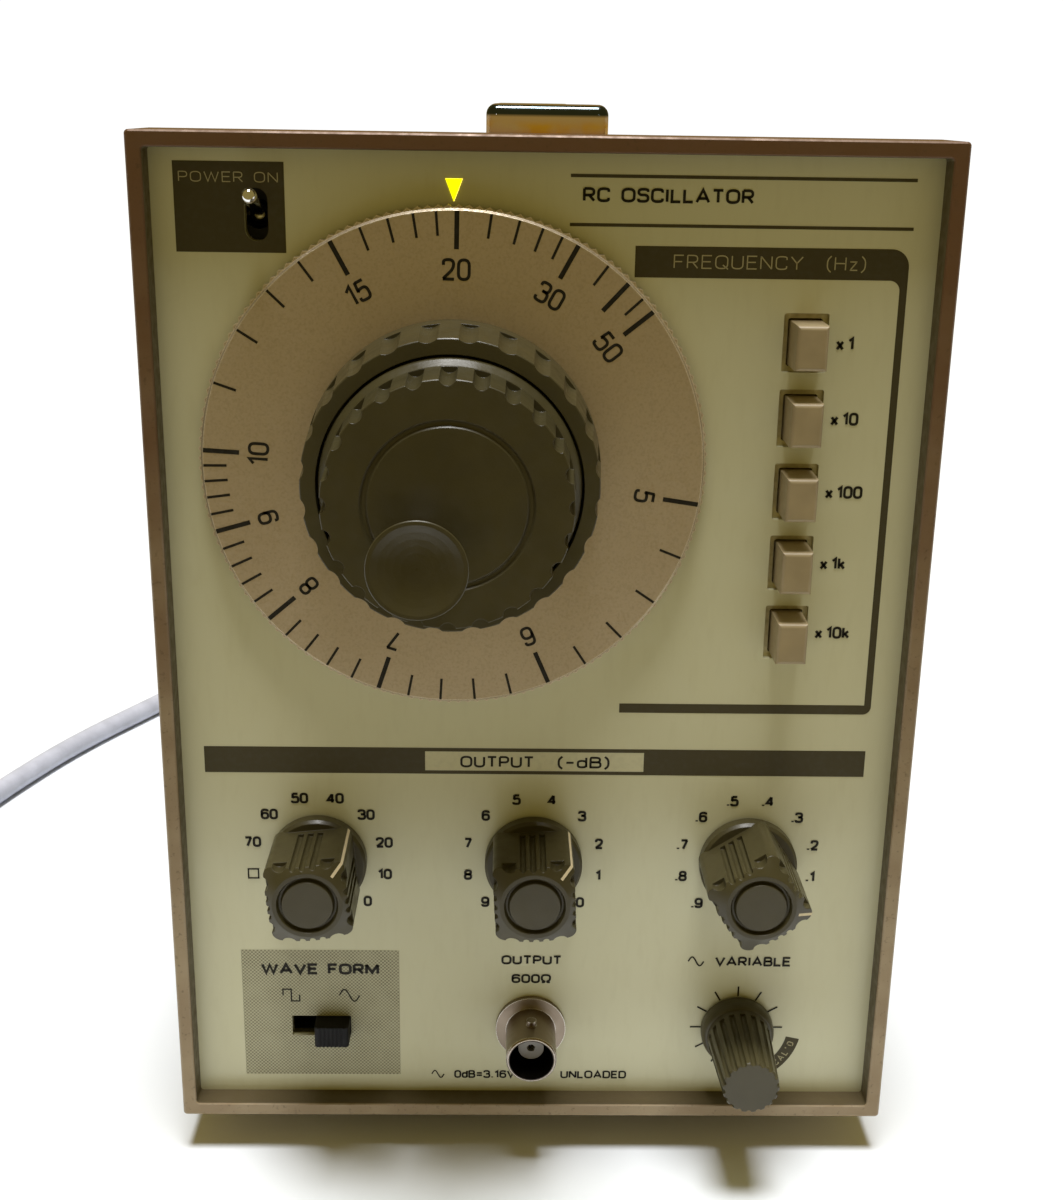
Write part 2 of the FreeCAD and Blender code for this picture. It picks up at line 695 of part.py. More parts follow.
def panel_nuts():
    """The nuts of the rotary switches, the level potentiometer and the output socket."""
    solids = [hexagon(x, ATTENUATOR_Z, 13.0, 4.75, PANEL_FRONT - 2.2, PANEL_FRONT) for x in ATTENUATOR_X]
    solids.append(hexagon(LEVEL_X, LEVEL_Z, 9.0, 3.55, PANEL_FRONT - 1.7, PANEL_FRONT))
    solids.append(hexagon(BNC_X, BNC_Z, 13.0, 4.75, SUB_BACK, SUB_BACK + 2.4))
    return Part.makeCompound(solids)


# ---- push-buttons --------------------------------------------------------------------------
def range_button(z):
    """A square key on the plunger of one section of the switch bank."""
    cap = box(BUTTON_X - BUTTON_WIDTH / 2, BUTTON_X + BUTTON_WIDTH / 2, BUTTON_FRONT, BUTTON_BACK,
              z - BUTTON_HEIGHT / 2, z + BUTTON_HEIGHT / 2)
    cap = cap.makeFillet(0.7, front_edges(cap, BUTTON_FRONT))
    stem = box(BUTTON_X - 1.4, BUTTON_X + 1.4, BUTTON_BACK, 27.0, z - 1.4, z + 1.4)
    return cap.fuse(stem).removeSplitter()


def return_spring(z):
    """The wire spring round one plunger, between the key and the switch bank."""
    wire_radius = 0.3
    length = BANK_FRONT - BUTTON_BACK - 2 * wire_radius - 0.1
    helix = Part.makeHelix(length / 5, length, 2.6)
    section = Part.Wire(Part.makeCircle(wire_radius, FreeCAD.Vector(2.6, 0, 0), Y))
    coil = Part.Wire(helix).makePipeShell([section], True, True)
    coil.rotate(FreeCAD.Vector(0, 0, 0), X, -90)
    coil.translate(at(BUTTON_X, BUTTON_BACK + wire_radius + 0.05, z))
    return coil


def pushbutton_switch_bank():
    """The body that the five plungers slide in, on two legs behind the sub-panel."""
    heights = button_heights()
    low, high = heights[-1] - 6.2, heights[0] + 6.2
    body = box(BUTTON_X - 7.5, BUTTON_X + 7.5, BANK_FRONT, BANK_FRONT + 18, low, high)
    legs = [box(BUTTON_X - 5, BUTTON_X + 5, SUB_BACK, BANK_FRONT, low - 4, low),
            box(BUTTON_X - 5, BUTTON_X + 5, SUB_BACK, BANK_FRONT, high, high + 4),
            box(BUTTON_X - 5, BUTTON_X + 5, BANK_FRONT, BANK_FRONT + 3, low - 4, high + 4)]
    cutters = [box(BUTTON_X - 1.5, BUTTON_X + 1.5, BANK_FRONT - 1, BANK_FRONT + 16, z - 1.5, z + 1.5)
               for z in heights]
    return body.fuse(legs).removeSplitter().cut(cutters)


# ---- power and wave form switches ----------------------------------------------------------
def power_toggle():
    """A bat lever on a ball with a cross pin, tilted up to its ON position."""
    pivot = at(POWER_X, POWER_PIVOT, POWER_Z)
    tilt = math.radians(POWER_TILT)
    along = FreeCAD.Vector(0, -math.cos(tilt), math.sin(tilt))
    length = 12.2
    ball = Part.makeSphere(1.9, pivot)
    bat = Part.makeCone(0.85, 1.3, length, pivot, along)
    tip = Part.makeSphere(1.3, pivot + along * length)
    pin = Part.makeCylinder(0.8, 4.6, pivot - X * 2.3, X)
    return ball.fuse([bat, tip, pin]).removeSplitter()


def power_switch_body():
    """The mains switch, with a bushing that the lever's ball turns in."""
    body = box(POWER_X - 7, POWER_X + 7, 12.4, 30.0, POWER_Z - 12, POWER_Z + 7)
    bushing = ring(POWER_X, POWER_Z, 4.4, 2.5, SUB_BACK, 12.4)
    tags = [box(POWER_X - 1.5, POWER_X + 1.5, 30.0, 36.0, POWER_Z + dz - 0.4, POWER_Z + dz + 0.4)
            for dz in (-6, 0, 6)]
    return body.fuse([bushing] + tags).removeSplitter()


def slide_switch_body():
    """The wave form switch, a box with a slot for its actuator."""
    body = box(SLIDE_X - 10, SLIDE_X + 10, SUB_BACK, 16.0, SLIDE_Z - 4.2, SLIDE_Z + 4.2)
    track = box(SLIDE_X - SLIDE_SLOT / 2, SLIDE_X + SLIDE_SLOT / 2, SUB_BACK - 1, 11.5,
                SLIDE_Z - SLIDE_HIGH / 2, SLIDE_Z + SLIDE_HIGH / 2)
    return body.cut(track)


def slide_actuator():
    """The ribbed actuator, at the right-hand end of its slot."""
    right = SLIDE_X + SLIDE_SLOT / 2 - 0.15
    left = right - ACTUATOR_WIDTH
    low, high = SLIDE_Z - SLIDE_HIGH / 2 + 0.1, SLIDE_Z + SLIDE_HIGH / 2 - 0.1
    body = box(left, right, 0.2, 11.4, low, high)
    corners = [e for e in body.Edges
               if abs(e.tangentAt(e.FirstParameter).z) > 0.99 and e.BoundBox.YMax < FACE_Y + 1]
    body = body.makeFillet(0.8, corners)
    ribs = [post(left + 1.3 + 0.8 * k, 0.1, 0.26, low - 1, high + 1) for k in range(6)]
    return body.cut(ribs)


# ---- output socket -------------------------------------------------------------------------
def bnc_shell():
    """The shell: flange, bayonet barrel with its two lugs, and a rear thread."""
    body = turned(BNC_X, BNC_Z, [
        (2.5, 3.4),
        (2.5, 14.0),
        (4.7, 14.0),
        (4.7, PANEL_FRONT),
        (6.8, PANEL_FRONT),
        (6.8, 3.4),
        (5.6, 3.2),
        (4.8, 3.0),
        (4.8, BNC_MOUTH + 0.3),
        (4.5, BNC_MOUTH),
        (4.15, BNC_MOUTH),
        (4.1, BNC_MOUTH + 0.3),
        (4.1, 3.4),
    ])
    lugs = []
    for side in (-1, 1):
        start = at(BNC_X, -2.4, BNC_Z + side * 4.4)
        lugs.append(Part.makeCylinder(0.95, 1.35, start, Z * side))
    return body.fuse(lugs).removeSplitter()


def bnc_insulator():
    return ring(BNC_X, BNC_Z, 2.45, 0.75, -3.0, 14.0)


def bnc_contact():
    """The slotted centre contact, with a solder tail."""
    pin = ring(BNC_X, BNC_Z, 0.7, 0.4, -2.4, 3.0).fuse(rod(BNC_X, BNC_Z, 0.7, 3.0, 17.0))
    slot = box(BNC_X - 0.12, BNC_X + 0.12, -3.0, 1.0, BNC_Z - 1, BNC_Z + 1)
    return pin.removeSplitter().cut(slot)


# ---- electronics and mains -----------------------------------------------------------------
BOARD_HALF = 50.0
BOARD_DEPTHS = (60.0, 165.0)


def standoff_places():
    d0, d1 = BOARD_DEPTHS
    return [(x, depth) for x in (-BOARD_HALF + 5, BOARD_HALF - 5) for depth in (d0 + 5, d1 - 5)]


def main_board():
    body = box(-BOARD_HALF, BOARD_HALF, BOARD_DEPTHS[0], BOARD_DEPTHS[1], BOARD_Z, BOARD_Z + 1.6)
    return body.cut([post(x, depth, 1.6, BOARD_Z - 1, BOARD_Z + 3) for x, depth in standoff_places()])


def board_standoffs():
    solids = []
    for x, depth in standoff_places():
        pillar = post(x, depth, 3.0, TRAY_Z + SHEET, BOARD_Z)
        stud = post(x, depth, 1.5, BOARD_Z, BOARD_Z + 3.5)
        solids.append(pillar.fuse(stud).removeSplitter())
    return Part.makeCompound(solids)


def circuit_components():
    """Upright capacitors, power transistors on a small heat sink, and trimmers."""
    top = BOARD_Z + 1.6
    solids = []
    for x, depth, radius, high in ((-32, 78, 6, 22), (-16, 78, 6, 22), (0, 78, 5, 16),
                                   (16, 80, 4, 12), (28, 80, 4, 12), (-34, 104, 5, 18)):
        solids.append(post(x, depth, radius, top, top + high))
    for k in range(4):
        depth = 104 + 12 * k
        solids.append(box(-10, 10, depth, depth + 6, top, top + 4))
    for x in (24, 36):
        solids.append(box(x, x + 8, 104, 112, top, top + 6))
    solids.append(box(20, 44, 140, 142, top, top + 28))
    for x in (22, 34):
        solids.append(box(x, x + 9, 135.5, 140, top + 6, top + 21))
    return Part.makeCompound(solids)


def transformer():
    """A laminated core with its winding and a mounting bracket."""
    floor = TRAY_Z + SHEET
    core = box(-6, 44, 182, 206, floor + 1.2, floor + 43)
    winding = box(1, 37, 176, 212, floor + 9, floor + 35)
    bracket = box(-15, 53, 185, 203, floor, floor + 1.2)
    return core.fuse([winding, bracket]).removeSplitter()


def fuse_holder():
    """A panel fuse holder with a screwdriver-slotted cap."""
    face = CASE_DEPTH - 0.5
    body = turned(FUSE_X, FUSE_Z, [
        (0, 218.0),
        (6.2, 218.0),
        (6.2, face),
        (8.0, face),
        (8.0, face + 2.5),
        (6.4, face + 3.0),
        (6.0, REAR_REACH - 0.6),
        (5.4, REAR_REACH),
        (0, REAR_REACH),
    ])
    return body.cut(box(FUSE_X - 0.8, FUSE_X + 0.8, REAR_REACH - 1.6, REAR_REACH + 1,
                        FUSE_Z - 5.0, FUSE_Z + 5.0))


def strain_relief():
    """The moulded gland in the rear panel, with a tapered sleeve."""
    face = CASE_DEPTH - 0.5
    return turned(GLAND_X, GLAND_Z, [
        (0, 226.0),
        (6.4, 226.0),
        (6.4, face),
        (8.5, face),
        (8.5, face + 2.5),
        (5.6, face + 4.0),
        (3.9, GLAND_TIP),
        (0, GLAND_TIP),
    ])


def mains_cord():
    """The lead from the gland to the coil: straight runs joined by tangent arcs."""
    points = [FreeCAD.Vector(*p) for p in CORD_ROUTE]
    edges = []
    radii = []
    start = points[0]
    for before, corner, after in zip(points, points[1:], points[2:]):
        run_in, run_out = corner - before, after - corner
        turn = run_in.getAngle(run_out)
        shorter = min(run_in.Length, run_out.Length)
        cut = 0.45 * shorter
        radius = cut / math.tan(turn / 2)
        radii.append(radius)
        first = corner - run_in * (cut / run_in.Length)
        last = corner + run_out * (cut / run_out.Length)
        inward = (run_out * (1 / run_out.Length) - run_in * (1 / run_in.Length)).normalize()
        middle = corner + inward * (radius / math.cos(turn / 2) - radius)
        edges.append(Part.LineSegment(start, first).toShape())
        edges.append(Part.Arc(first, middle, last).toShape())
        start = last
    edges.append(Part.LineSegment(start, points[-1]).toShape())
    path = Part.Wire(edges)
    section = Part.Wire(Part.makeCircle(CORD_DIAMETER / 2, points[0], points[1] - points[0]))
    tube = path.makePipeShell([section], True, True)
    expected = math.pi * CORD_DIAMETER ** 2 / 4 * path.Length
    print("cord bend radii", [round(r, 1) for r in radii])
    print("cord tube length %.1f, volume / expected %.4f" % (path.Length, tube.Volume / expected))
    return tube


def cord_coil():
    """The wound-up rest of the lead, as the outer shape of its turns."""
    centre = FreeCAD.Vector(COIL_X, COIL_Y, 0)
    half_band = COIL_COLUMNS / 2 * CORD_DIAMETER
    outer = Part.makeCylinder(COIL_MID_RADIUS + half_band, COIL_HIGH, centre, Z)
    inner = Part.makeCylinder(COIL_MID_RADIUS - half_band, COIL_HIGH + 2, centre - Z, Z)
    body = outer.cut(inner)
    return body.makeFillet(0.48 * CORD_DIAMETER, [e for e in body.Edges if e.Length > 100])


def mains_plug():
    """A two-blade plug that lies beside the coil, with a tapered boot."""
    x = COIL_X - COIL_MID_RADIUS - CORD_DIAMETER
    boot_start = COIL_Y + 24.0
    face_y = boot_start + PLUG_BOOT + PLUG_LONG
    boot = Part.makeCone(3.3, 5.4, PLUG_BOOT, FreeCAD.Vector(x, boot_start, PLUG_HIGH / 2), Y)
    corner = FreeCAD.Vector(x - PLUG_WIDTH / 2, boot_start + PLUG_BOOT, 0)
    body = Part.makeBox(PLUG_WIDTH, PLUG_LONG, PLUG_HIGH, corner)
    body = body.makeFillet(3.0, [e for e in body.Edges if abs(e.tangentAt(e.FirstParameter).y) > 0.99])
    blades = []
    for side in (-1, 1):
        corner = FreeCAD.Vector(x + side * BLADE_APART / 2 - 0.75, face_y, PLUG_HIGH / 2 - 3.15)
        blades.append(Part.makeBox(1.5, 17.0, 6.3, corner))
    return boot.fuse([body] + blades).removeSplitter()


# ---- the nodes -----------------------------------------------------------------------------
def nodes():
    """Every sub-part by name."""
    made = {
        "front_frame": front_frame(),
        "front_panel": front_panel(),
        "sub_panel": sub_panel(),
        "chassis": chassis(),
        "top_cover": top_cover(),
        "bottom_cover": bottom_cover(),
        "rear_panel": rear_panel(),
        "case_screws": case_screws(),
        "feet": feet(),
        "handle_end_caps": handle_end_caps(),
        "handle_strap": handle_strap(),
        "dial_disc": dial_disc(),
        "coarse_knob": coarse_knob(),
        "tuning_shaft": tuning_shaft(),
        "fine_knob": fine_knob(),
        "fine_shaft": fine_shaft(),
        "crank_pin": crank_pin(),
        "crank_spinner": crank_spinner(),
        "vernier_drive_housing": vernier_drive_housing(),
        "tuning_potentiometer": tuning_potentiometer(),
        "pointer_lens": pointer_lens(),
        "pilot_lamp": pilot_lamp(),
        "rotary_switches": rotary_switches(),
        "level_knob": level_knob(),
        "level_shaft": knob_shaft(LEVEL_X, LEVEL_Z, PANEL_FRONT - 15.7, 12.5),
        "level_potentiometer": level_potentiometer(),
        "panel_nuts": panel_nuts(),
        "pushbutton_switch_bank": pushbutton_switch_bank(),
        "power_toggle": power_toggle(),
        "power_switch_body": power_switch_body(),
        "slide_actuator": slide_actuator(),
        "slide_switch_body": slide_switch_body(),
        "bnc_shell": bnc_shell(),
        "bnc_insulator": bnc_insulator(),
        "bnc_contact": bnc_contact(),
        "main_board": main_board(),
        "board_standoffs": board_standoffs(),
        "circuit_components": circuit_components(),
        "transformer": transformer(),
        "fuse_holder": fuse_holder(),
        "strain_relief": strain_relief(),
        "mains_cord": mains_cord(),
        "cord_coil": cord_coil(),
        "mains_plug": mains_plug(),
    }
    for name, x, points_at in zip(ATTENUATOR_NAMES, ATTENUATOR_X, ATTENUATOR_POINTS_AT):
        made["attenuator_knob_" + name] = attenuator_knob(x, points_at)
        made["attenuator_shaft_" + name] = knob_shaft(x, ATTENUATOR_Z, PANEL_FRONT - 15, 27.0)
    for k, z in enumerate(button_heights()):
        made["range_button_%d" % (k + 1)] = range_button(z)
        made["return_spring_%d" % (k + 1)] = return_spring(z)
    return made


os.makedirs("parts", exist_ok=True)
for node, shape in nodes().items():
    if not shape.isValid():
        print("not valid:", node)
    shape.exportStep("parts/%s.step" % node)
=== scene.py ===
"""The looks of the bench oscillator: printing, finishes, mains lead, light and camera.

Lengths are in millimetres in the tables below and become metres in place() and in metres().
Most places are given as x, depth behind the frame's front face, and height above its lower edge.
"""

import math

import bmesh
import bpy
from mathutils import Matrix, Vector


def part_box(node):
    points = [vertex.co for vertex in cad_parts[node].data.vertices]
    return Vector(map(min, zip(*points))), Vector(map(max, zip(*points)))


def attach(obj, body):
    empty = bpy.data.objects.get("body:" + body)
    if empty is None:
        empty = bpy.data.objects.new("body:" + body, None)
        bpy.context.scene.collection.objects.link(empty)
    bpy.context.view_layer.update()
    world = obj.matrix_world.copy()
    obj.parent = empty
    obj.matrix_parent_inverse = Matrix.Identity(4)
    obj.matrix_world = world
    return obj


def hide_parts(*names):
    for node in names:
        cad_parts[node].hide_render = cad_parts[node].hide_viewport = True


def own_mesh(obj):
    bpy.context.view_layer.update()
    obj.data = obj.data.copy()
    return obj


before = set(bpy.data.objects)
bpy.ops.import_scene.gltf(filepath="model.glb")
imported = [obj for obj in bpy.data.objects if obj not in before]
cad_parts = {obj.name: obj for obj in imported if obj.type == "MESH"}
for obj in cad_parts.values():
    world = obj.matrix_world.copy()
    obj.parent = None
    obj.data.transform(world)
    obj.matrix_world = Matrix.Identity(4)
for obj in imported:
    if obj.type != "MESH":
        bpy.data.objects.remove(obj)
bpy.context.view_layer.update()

MM = 0.001
FACE_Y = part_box("front_frame")[0].y
BASE_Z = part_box("front_frame")[0].z
PANEL_FRONT = (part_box("front_panel")[0].y - FACE_Y) / MM
DIAL_FRONT = (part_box("dial_disc")[0].y - FACE_Y) / MM
FRAME_LIP = 2.7                         # width of the front frame's face
INK = 0.03                              # how far a print stands off what it is printed on


def place(x, depth, z):
    return Vector((x * MM, FACE_Y + depth * MM, BASE_Z + z * MM))


def metres(*values):
    return [value * MM for value in values]


def centre_of(node):
    """x and height of a CAD node's middle, in millimetres."""
    low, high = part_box(node)
    return (low.x + high.x) / 2 / MM, ((low.z + high.z) / 2 - BASE_Z) / MM


DIAL_X, DIAL_Z = centre_of("dial_disc")
ATTENUATORS = [centre_of("attenuator_shaft_" + name) for name in ("tens", "units", "tenths")]
LEVEL_X, LEVEL_Z = centre_of("level_shaft")
BNC_X, BNC_Z = centre_of("bnc_insulator")
SLIDE_X, SLIDE_Z = centre_of("slide_switch_body")
POWER_X, POWER_Z = centre_of("power_toggle")[0], 172.0          # middle of the lever's slot
BUTTONS = [centre_of("range_button_%d" % (k + 1)) for k in range(5)]


# ---- camera --------------------------------------------------------------------------------
def add_camera():
    data = bpy.data.cameras.new("camera")
    data.sensor_width = 36
    data.lens = 46.84
    camera = bpy.data.objects.new("camera", data)
    camera.location = place(-6.95, -262.4, 190.4)
    camera.rotation_euler = [math.radians(a) for a in (72.326, -0.86, -0.87)]
    bpy.context.scene.collection.objects.link(camera)
    bpy.context.scene.camera = camera


add_camera()


# ---- mesh helpers --------------------------------------------------------------------------
def add_piece(name, bm, finish, body):
    """Turns a bmesh into a piece that rides on one body."""
    mesh = bpy.data.meshes.new(name)
    bm.to_mesh(mesh)
    bm.free()
    mesh.materials.append(finish.material)
    piece = bpy.data.objects.new(name, mesh)
    bpy.context.scene.collection.objects.link(piece)
    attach(piece, body)
    return piece


def to_object(name, bm, finish, body, smooth=False):
    """A solid piece from a bmesh, with its faces turned outwards."""
    bmesh.ops.recalc_face_normals(bm, faces=bm.faces)
    piece = add_piece(name, bm, finish, body)
    for face in piece.data.polygons:
        face.use_smooth = smooth
    return piece


def bevel(piece, width, segments=2, angle=35):
    modifier = piece.modifiers.new("bevel", "BEVEL")
    modifier.width = width * MM
    modifier.segments = segments
    modifier.limit_method = "ANGLE"
    modifier.angle_limit = math.radians(angle)
    modifier.harden_normals = True


def lathe(bm, start, along, outline, steps=64):
    """A closed solid of revolution from (radius, distance along the axis) pairs, in millimetres."""
    along = along.normalized()
    side = along.orthogonal().normalized()
    other = along.cross(side)
    rings = []
    for radius, distance in outline:
        middle = start + along * distance * MM
        if radius == 0:
            rings.append([bm.verts.new(middle)])
            continue
        ring = []
        for k in range(steps):
            a = 2 * math.pi * k / steps
            ring.append(bm.verts.new(middle + (side * math.cos(a) + other * math.sin(a)) * radius * MM))
        rings.append(ring)
    for near, far in zip(rings, rings[1:]):
        join_rings(bm, near, far, steps)


def join_rings(bm, near, far, steps):
    """Faces between two rings, either of which may be a single point."""
    for k in range(steps):
        n = (k + 1) % steps
        if len(near) == 1:
            bm.faces.new((near[0], far[n], far[k]))
        elif len(far) == 1:
            bm.faces.new((near[k], near[n], far[0]))
        else:
            bm.faces.new((near[k], near[n], far[n], far[k]))


# ---- finishes ------------------------------------------------------------------------------
class Finish:
    """A material: uniform values on the shader itself, and layers of procedural detail."""

    def __init__(self, name, colour, roughness, metallic=0.0, **values):
        self.material = bpy.data.materials.new(name)
        self.material.use_nodes = True
        self.tree = self.material.node_tree
        self.shader = self.tree.nodes["Principled BSDF"]
        self.colour = colour
        self.set("Base Color", (*colour, 1))
        self.set("Roughness", roughness)
        self.set("Metallic", metallic)
        for key, value in values.items():
            self.set(key.replace("_", " "), value)
        self.place = self.add("ShaderNodeTexCoord").outputs["Object"]

    def set(self, name, value):
        self.shader.inputs[name].default_value = value

    def add(self, kind, **inputs):
        node = self.tree.nodes.new(kind)
        for name, value in inputs.items():
            self.feed(node.inputs[name.replace("_", " ")], value)
        return node

    def feed(self, target, value):
        if isinstance(value, bpy.types.NodeSocket):
            self.tree.links.new(value, target)
        else:
            target.default_value = value

    def math(self, operation, a, b=0.0):
        node = self.add("ShaderNodeMath")
        node.operation = operation
        self.feed(node.inputs[0], a)
        self.feed(node.inputs[1], b)
        return node.outputs[0]

    def noise(self, scale, detail=2.0, stretch=(1, 1, 1)):
        """Noise with features of about 1 / scale metres, made finer along an axis by its stretch."""
        mapping = self.add("ShaderNodeMapping", Vector=self.place)
        mapping.inputs["Scale"].default_value = stretch
        return self.add("ShaderNodeTexNoise", Vector=mapping.outputs[0], Scale=scale,
                        Detail=detail).outputs[0]

    def spread(self, value, low, high, to_low=0.0, to_high=1.0):
        """value's range low to high, mapped to another range and held inside it."""
        node = self.add("ShaderNodeMapRange", Value=value)
        for name, number in (("From Min", low), ("From Max", high),
                             ("To Min", to_low), ("To Max", to_high)):
            node.inputs[name].default_value = number
        return node.outputs[0]

    def tint(self, factor, colour):
        """Mixes another colour over what the shader has so far."""
        mix = self.add("ShaderNodeMix")
        mix.data_type = "RGBA"
        current = self.shader.inputs["Base Color"]
        under = current.links[0].from_socket if current.links else tuple(current.default_value)
        self.feed(mix.inputs["Factor"], factor)
        self.feed(mix.inputs[6], under)
        self.feed(mix.inputs[7], (*colour, 1))
        self.tree.links.new(mix.outputs[2], current)

    def drive(self, name, value):
        """A shader value that changes over the surface."""
        self.tree.links.new(value, self.shader.inputs[name])

    def bump(self, height, distance, strength=1.0):
        """Relief of up to distance millimetres."""
        node = self.add("ShaderNodeBump", Height=height, Distance=distance * MM, Strength=strength)
        under = self.shader.inputs["Normal"]
        if under.links:
            self.tree.links.new(under.links[0].from_socket, node.inputs["Normal"])
        self.tree.links.new(node.outputs[0], under)

    def inside(self, x, z, radius):
        """1 nearer than radius to a line along the depth axis at x and z, in millimetres, else 0."""
        split = self.add("ShaderNodeSeparateXYZ", Vector=self.place).outputs
        middle = place(x, 0, z)
        across = self.math("SUBTRACT", split["X"], middle.x)
        up = self.math("SUBTRACT", split["Z"], middle.z)
        away = self.math("ADD", self.math("POWER", across, 2.0), self.math("POWER", up, 2.0))
        return self.math("LESS_THAN", away, (radius * MM) ** 2)

    def recess(self):
        """1 on the walls that face the panel, inside the front frame's lip, else 0."""
        split = self.add("ShaderNodeSeparateXYZ", Vector=self.place).outputs
        low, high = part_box("front_frame")
        slack = 0.1 * MM
        lip = FRAME_LIP * MM - slack
        sideways = self.math("LESS_THAN", self.math("ABSOLUTE", split["X"], 0.0), (high.x - low.x) / 2 - lip)
        above = self.math("GREATER_THAN", split["Z"], low.z + lip)
        below = self.math("LESS_THAN", split["Z"], high.z - lip)
        behind = self.math("GREATER_THAN", split["Y"], FACE_Y + 2 * slack)
        return self.math("MULTIPLY", self.math("MULTIPLY", sideways, above),
                         self.math("MULTIPLY", below, behind))

    def round_edges(self, radius):
        """Sharp edges shade as if they were rounded to a radius in millimetres."""
        rounded = self.add("ShaderNodeBevel", Radius=radius * MM).outputs[0]
        self.tree.links.new(rounded, self.shader.inputs["Normal"])

    def edges(self, radius):
        """1 along sharp edges, to a width of about radius millimetres, and 0 elsewhere."""
        rounded = self.add("ShaderNodeBevel", Radius=radius * MM).outputs[0]
        plain = self.add("ShaderNodeNewGeometry").outputs["Normal"]
        dot = self.add("ShaderNodeVectorMath")
        dot.operation = "DOT_PRODUCT"
        self.feed(dot.inputs[0], rounded)
        self.feed(dot.inputs[1], plain)
        return self.spread(dot.outputs["Value"], 0.995, 0.93)


def moulded(name, colour, roughness, grain=0.015, **values):
    """Moulded plastic: a faint fine grain, slow colour drift and handled, smoother patches."""
    finish = Finish(name, colour, roughness, **values)
    darker = [c * 0.78 for c in colour]
    finish.tint(finish.spread(finish.noise(160, 3.0), 0.35, 0.7, 0.0, 0.8), darker)
    handled = finish.noise(420, 3.0)
    finish.drive("Roughness", finish.spread(handled, 0.3, 0.7, roughness - 0.07, roughness + 0.08))
    finish.round_edges(0.2)
    finish.bump(finish.noise(2600, 2.0), grain, 0.6)
    return finish


def plated(name, colour, roughness, edge=None):
    """Bright plating with fine scuffs, a slight haze and, on some, a painted highlight along the edges."""
    finish = Finish(name, colour, roughness, 1.0)
    if edge:
        # Painted highlight along the edges.
        finish.tint(finish.edges(0.2), edge)
    haze = finish.noise(700, 4.0)
    finish.drive("Roughness", finish.spread(haze, 0.35, 0.75, roughness, roughness + 0.14))
    finish.bump(finish.noise(900, 3.0, (1, 6, 1)), 0.006, 0.5)
    return finish


def worn_frame_paint():
    """Brown enamel rubbed pale along its edges, with painted shade: lighter below, darker and redder above,
    and darker on the recess walls inside the lip.
    """
    finish = Finish("frame_paint", (0.27, 0.20, 0.118), 0.38, 0.15, Specular_IOR_Level=0.35)
    finish.tint(finish.spread(finish.noise(90, 4.0), 0.4, 0.65, 0.0, 0.7), (0.36, 0.285, 0.18))
    broken = finish.spread(finish.noise(260, 5.0), 0.36, 0.6)
    worn = finish.math("MULTIPLY", finish.edges(0.5), broken)
    finish.tint(worn, (0.34, 0.28, 0.20))
    # Painted shade: the enamel turns darker and redder towards the top, where less light falls.
    split = finish.add("ShaderNodeSeparateXYZ", Vector=finish.place).outputs
    height = finish.math("ADD", split["Z"], finish.spread(finish.noise(60, 4.0), 0.3, 0.7, -0.02, 0.02))
    low, high = place(0, 0, 60).z, place(0, 0, 160).z
    finish.tint(finish.spread(height, low, high, 0.0, 0.93), (0.125, 0.060, 0.026))
    finish.tint(finish.spread(finish.noise(1300, 4.0), 0.6, 0.75, 0.0, 0.5), (0.07, 0.045, 0.02))
    # Painted shade: the walls of the recess inside the lip are darkened.
    finish.tint(finish.recess(), (0.095, 0.072, 0.036))
    finish.drive("Roughness", finish.spread(finish.noise(500, 4.0), 0.3, 0.75, 0.32, 0.55))
    finish.bump(finish.noise(1500, 3.0), 0.03, 0.5)
    return finish


def handle_chrome():
    """Warm bright plating with painted reflections: amber patches on its sides and a dark band round its
    upper edge.
    """
    finish = Finish("handle_chrome", (0.90, 0.70, 0.58), 0.12, 1.0)
    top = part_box("handle_end_caps")[1].z
    height = finish.add("ShaderNodeSeparateXYZ", Vector=finish.place).outputs["Z"]

    def below_top(near, far):
        return finish.spread(height, top - near * MM, top - far * MM)

    # Painted reflection: warm amber patches on the sides.
    patches = finish.spread(finish.noise(120, 3.0), 0.38, 0.5)
    finish.tint(finish.math("MULTIPLY", below_top(2.6, 3.6), patches), (1.0, 0.62, 0.12))
    # Painted reflection: a dark band round the upper edge.
    rim = finish.math("MULTIPLY", below_top(2.2, 1.7), below_top(0.1, 0.3))
    finish.tint(rim, (0.06, 0.075, 0.08))
    finish.drive("Roughness", finish.spread(finish.noise(300, 3.0), 0.35, 0.75, 0.1, 0.24))
    finish.bump(finish.noise(200, 3.0), 0.02, 0.5)
    return finish


def cover_paint():
    """Dark brown textured paint on the case sheets."""
    finish = Finish("cover_paint", (0.075, 0.052, 0.032), 0.52)
    finish.tint(finish.spread(finish.noise(60, 3.0), 0.35, 0.7, 0.0, 0.6), (0.11, 0.08, 0.05))
    worn = finish.math("MULTIPLY", finish.edges(0.5), finish.spread(finish.noise(180, 5.0), 0.5, 0.62))
    finish.tint(worn, (0.36, 0.32, 0.27))
    finish.bump(finish.noise(1400, 2.0), 0.09, 0.7)
    return finish


def panel_paint():
    """Satin light olive paint, faintly mottled and streaked."""
    finish = Finish("panel_paint", (0.60, 0.59, 0.40), 0.34, Coat_Weight=0.25, Coat_Roughness=0.22)
    finish.tint(finish.spread(finish.noise(28, 4.0), 0.35, 0.7, 0.0, 0.45), (0.64, 0.63, 0.45))
    finish.tint(finish.spread(finish.noise(650, 3.0, (1, 1, 0.25)), 0.5, 0.8, 0.0, 0.25), (0.52, 0.50, 0.32))
    finish.drive("Roughness", finish.spread(finish.noise(240, 4.0), 0.3, 0.7, 0.28, 0.42))
    finish.bump(finish.noise(1900, 2.0), 0.012, 0.5)
    return finish


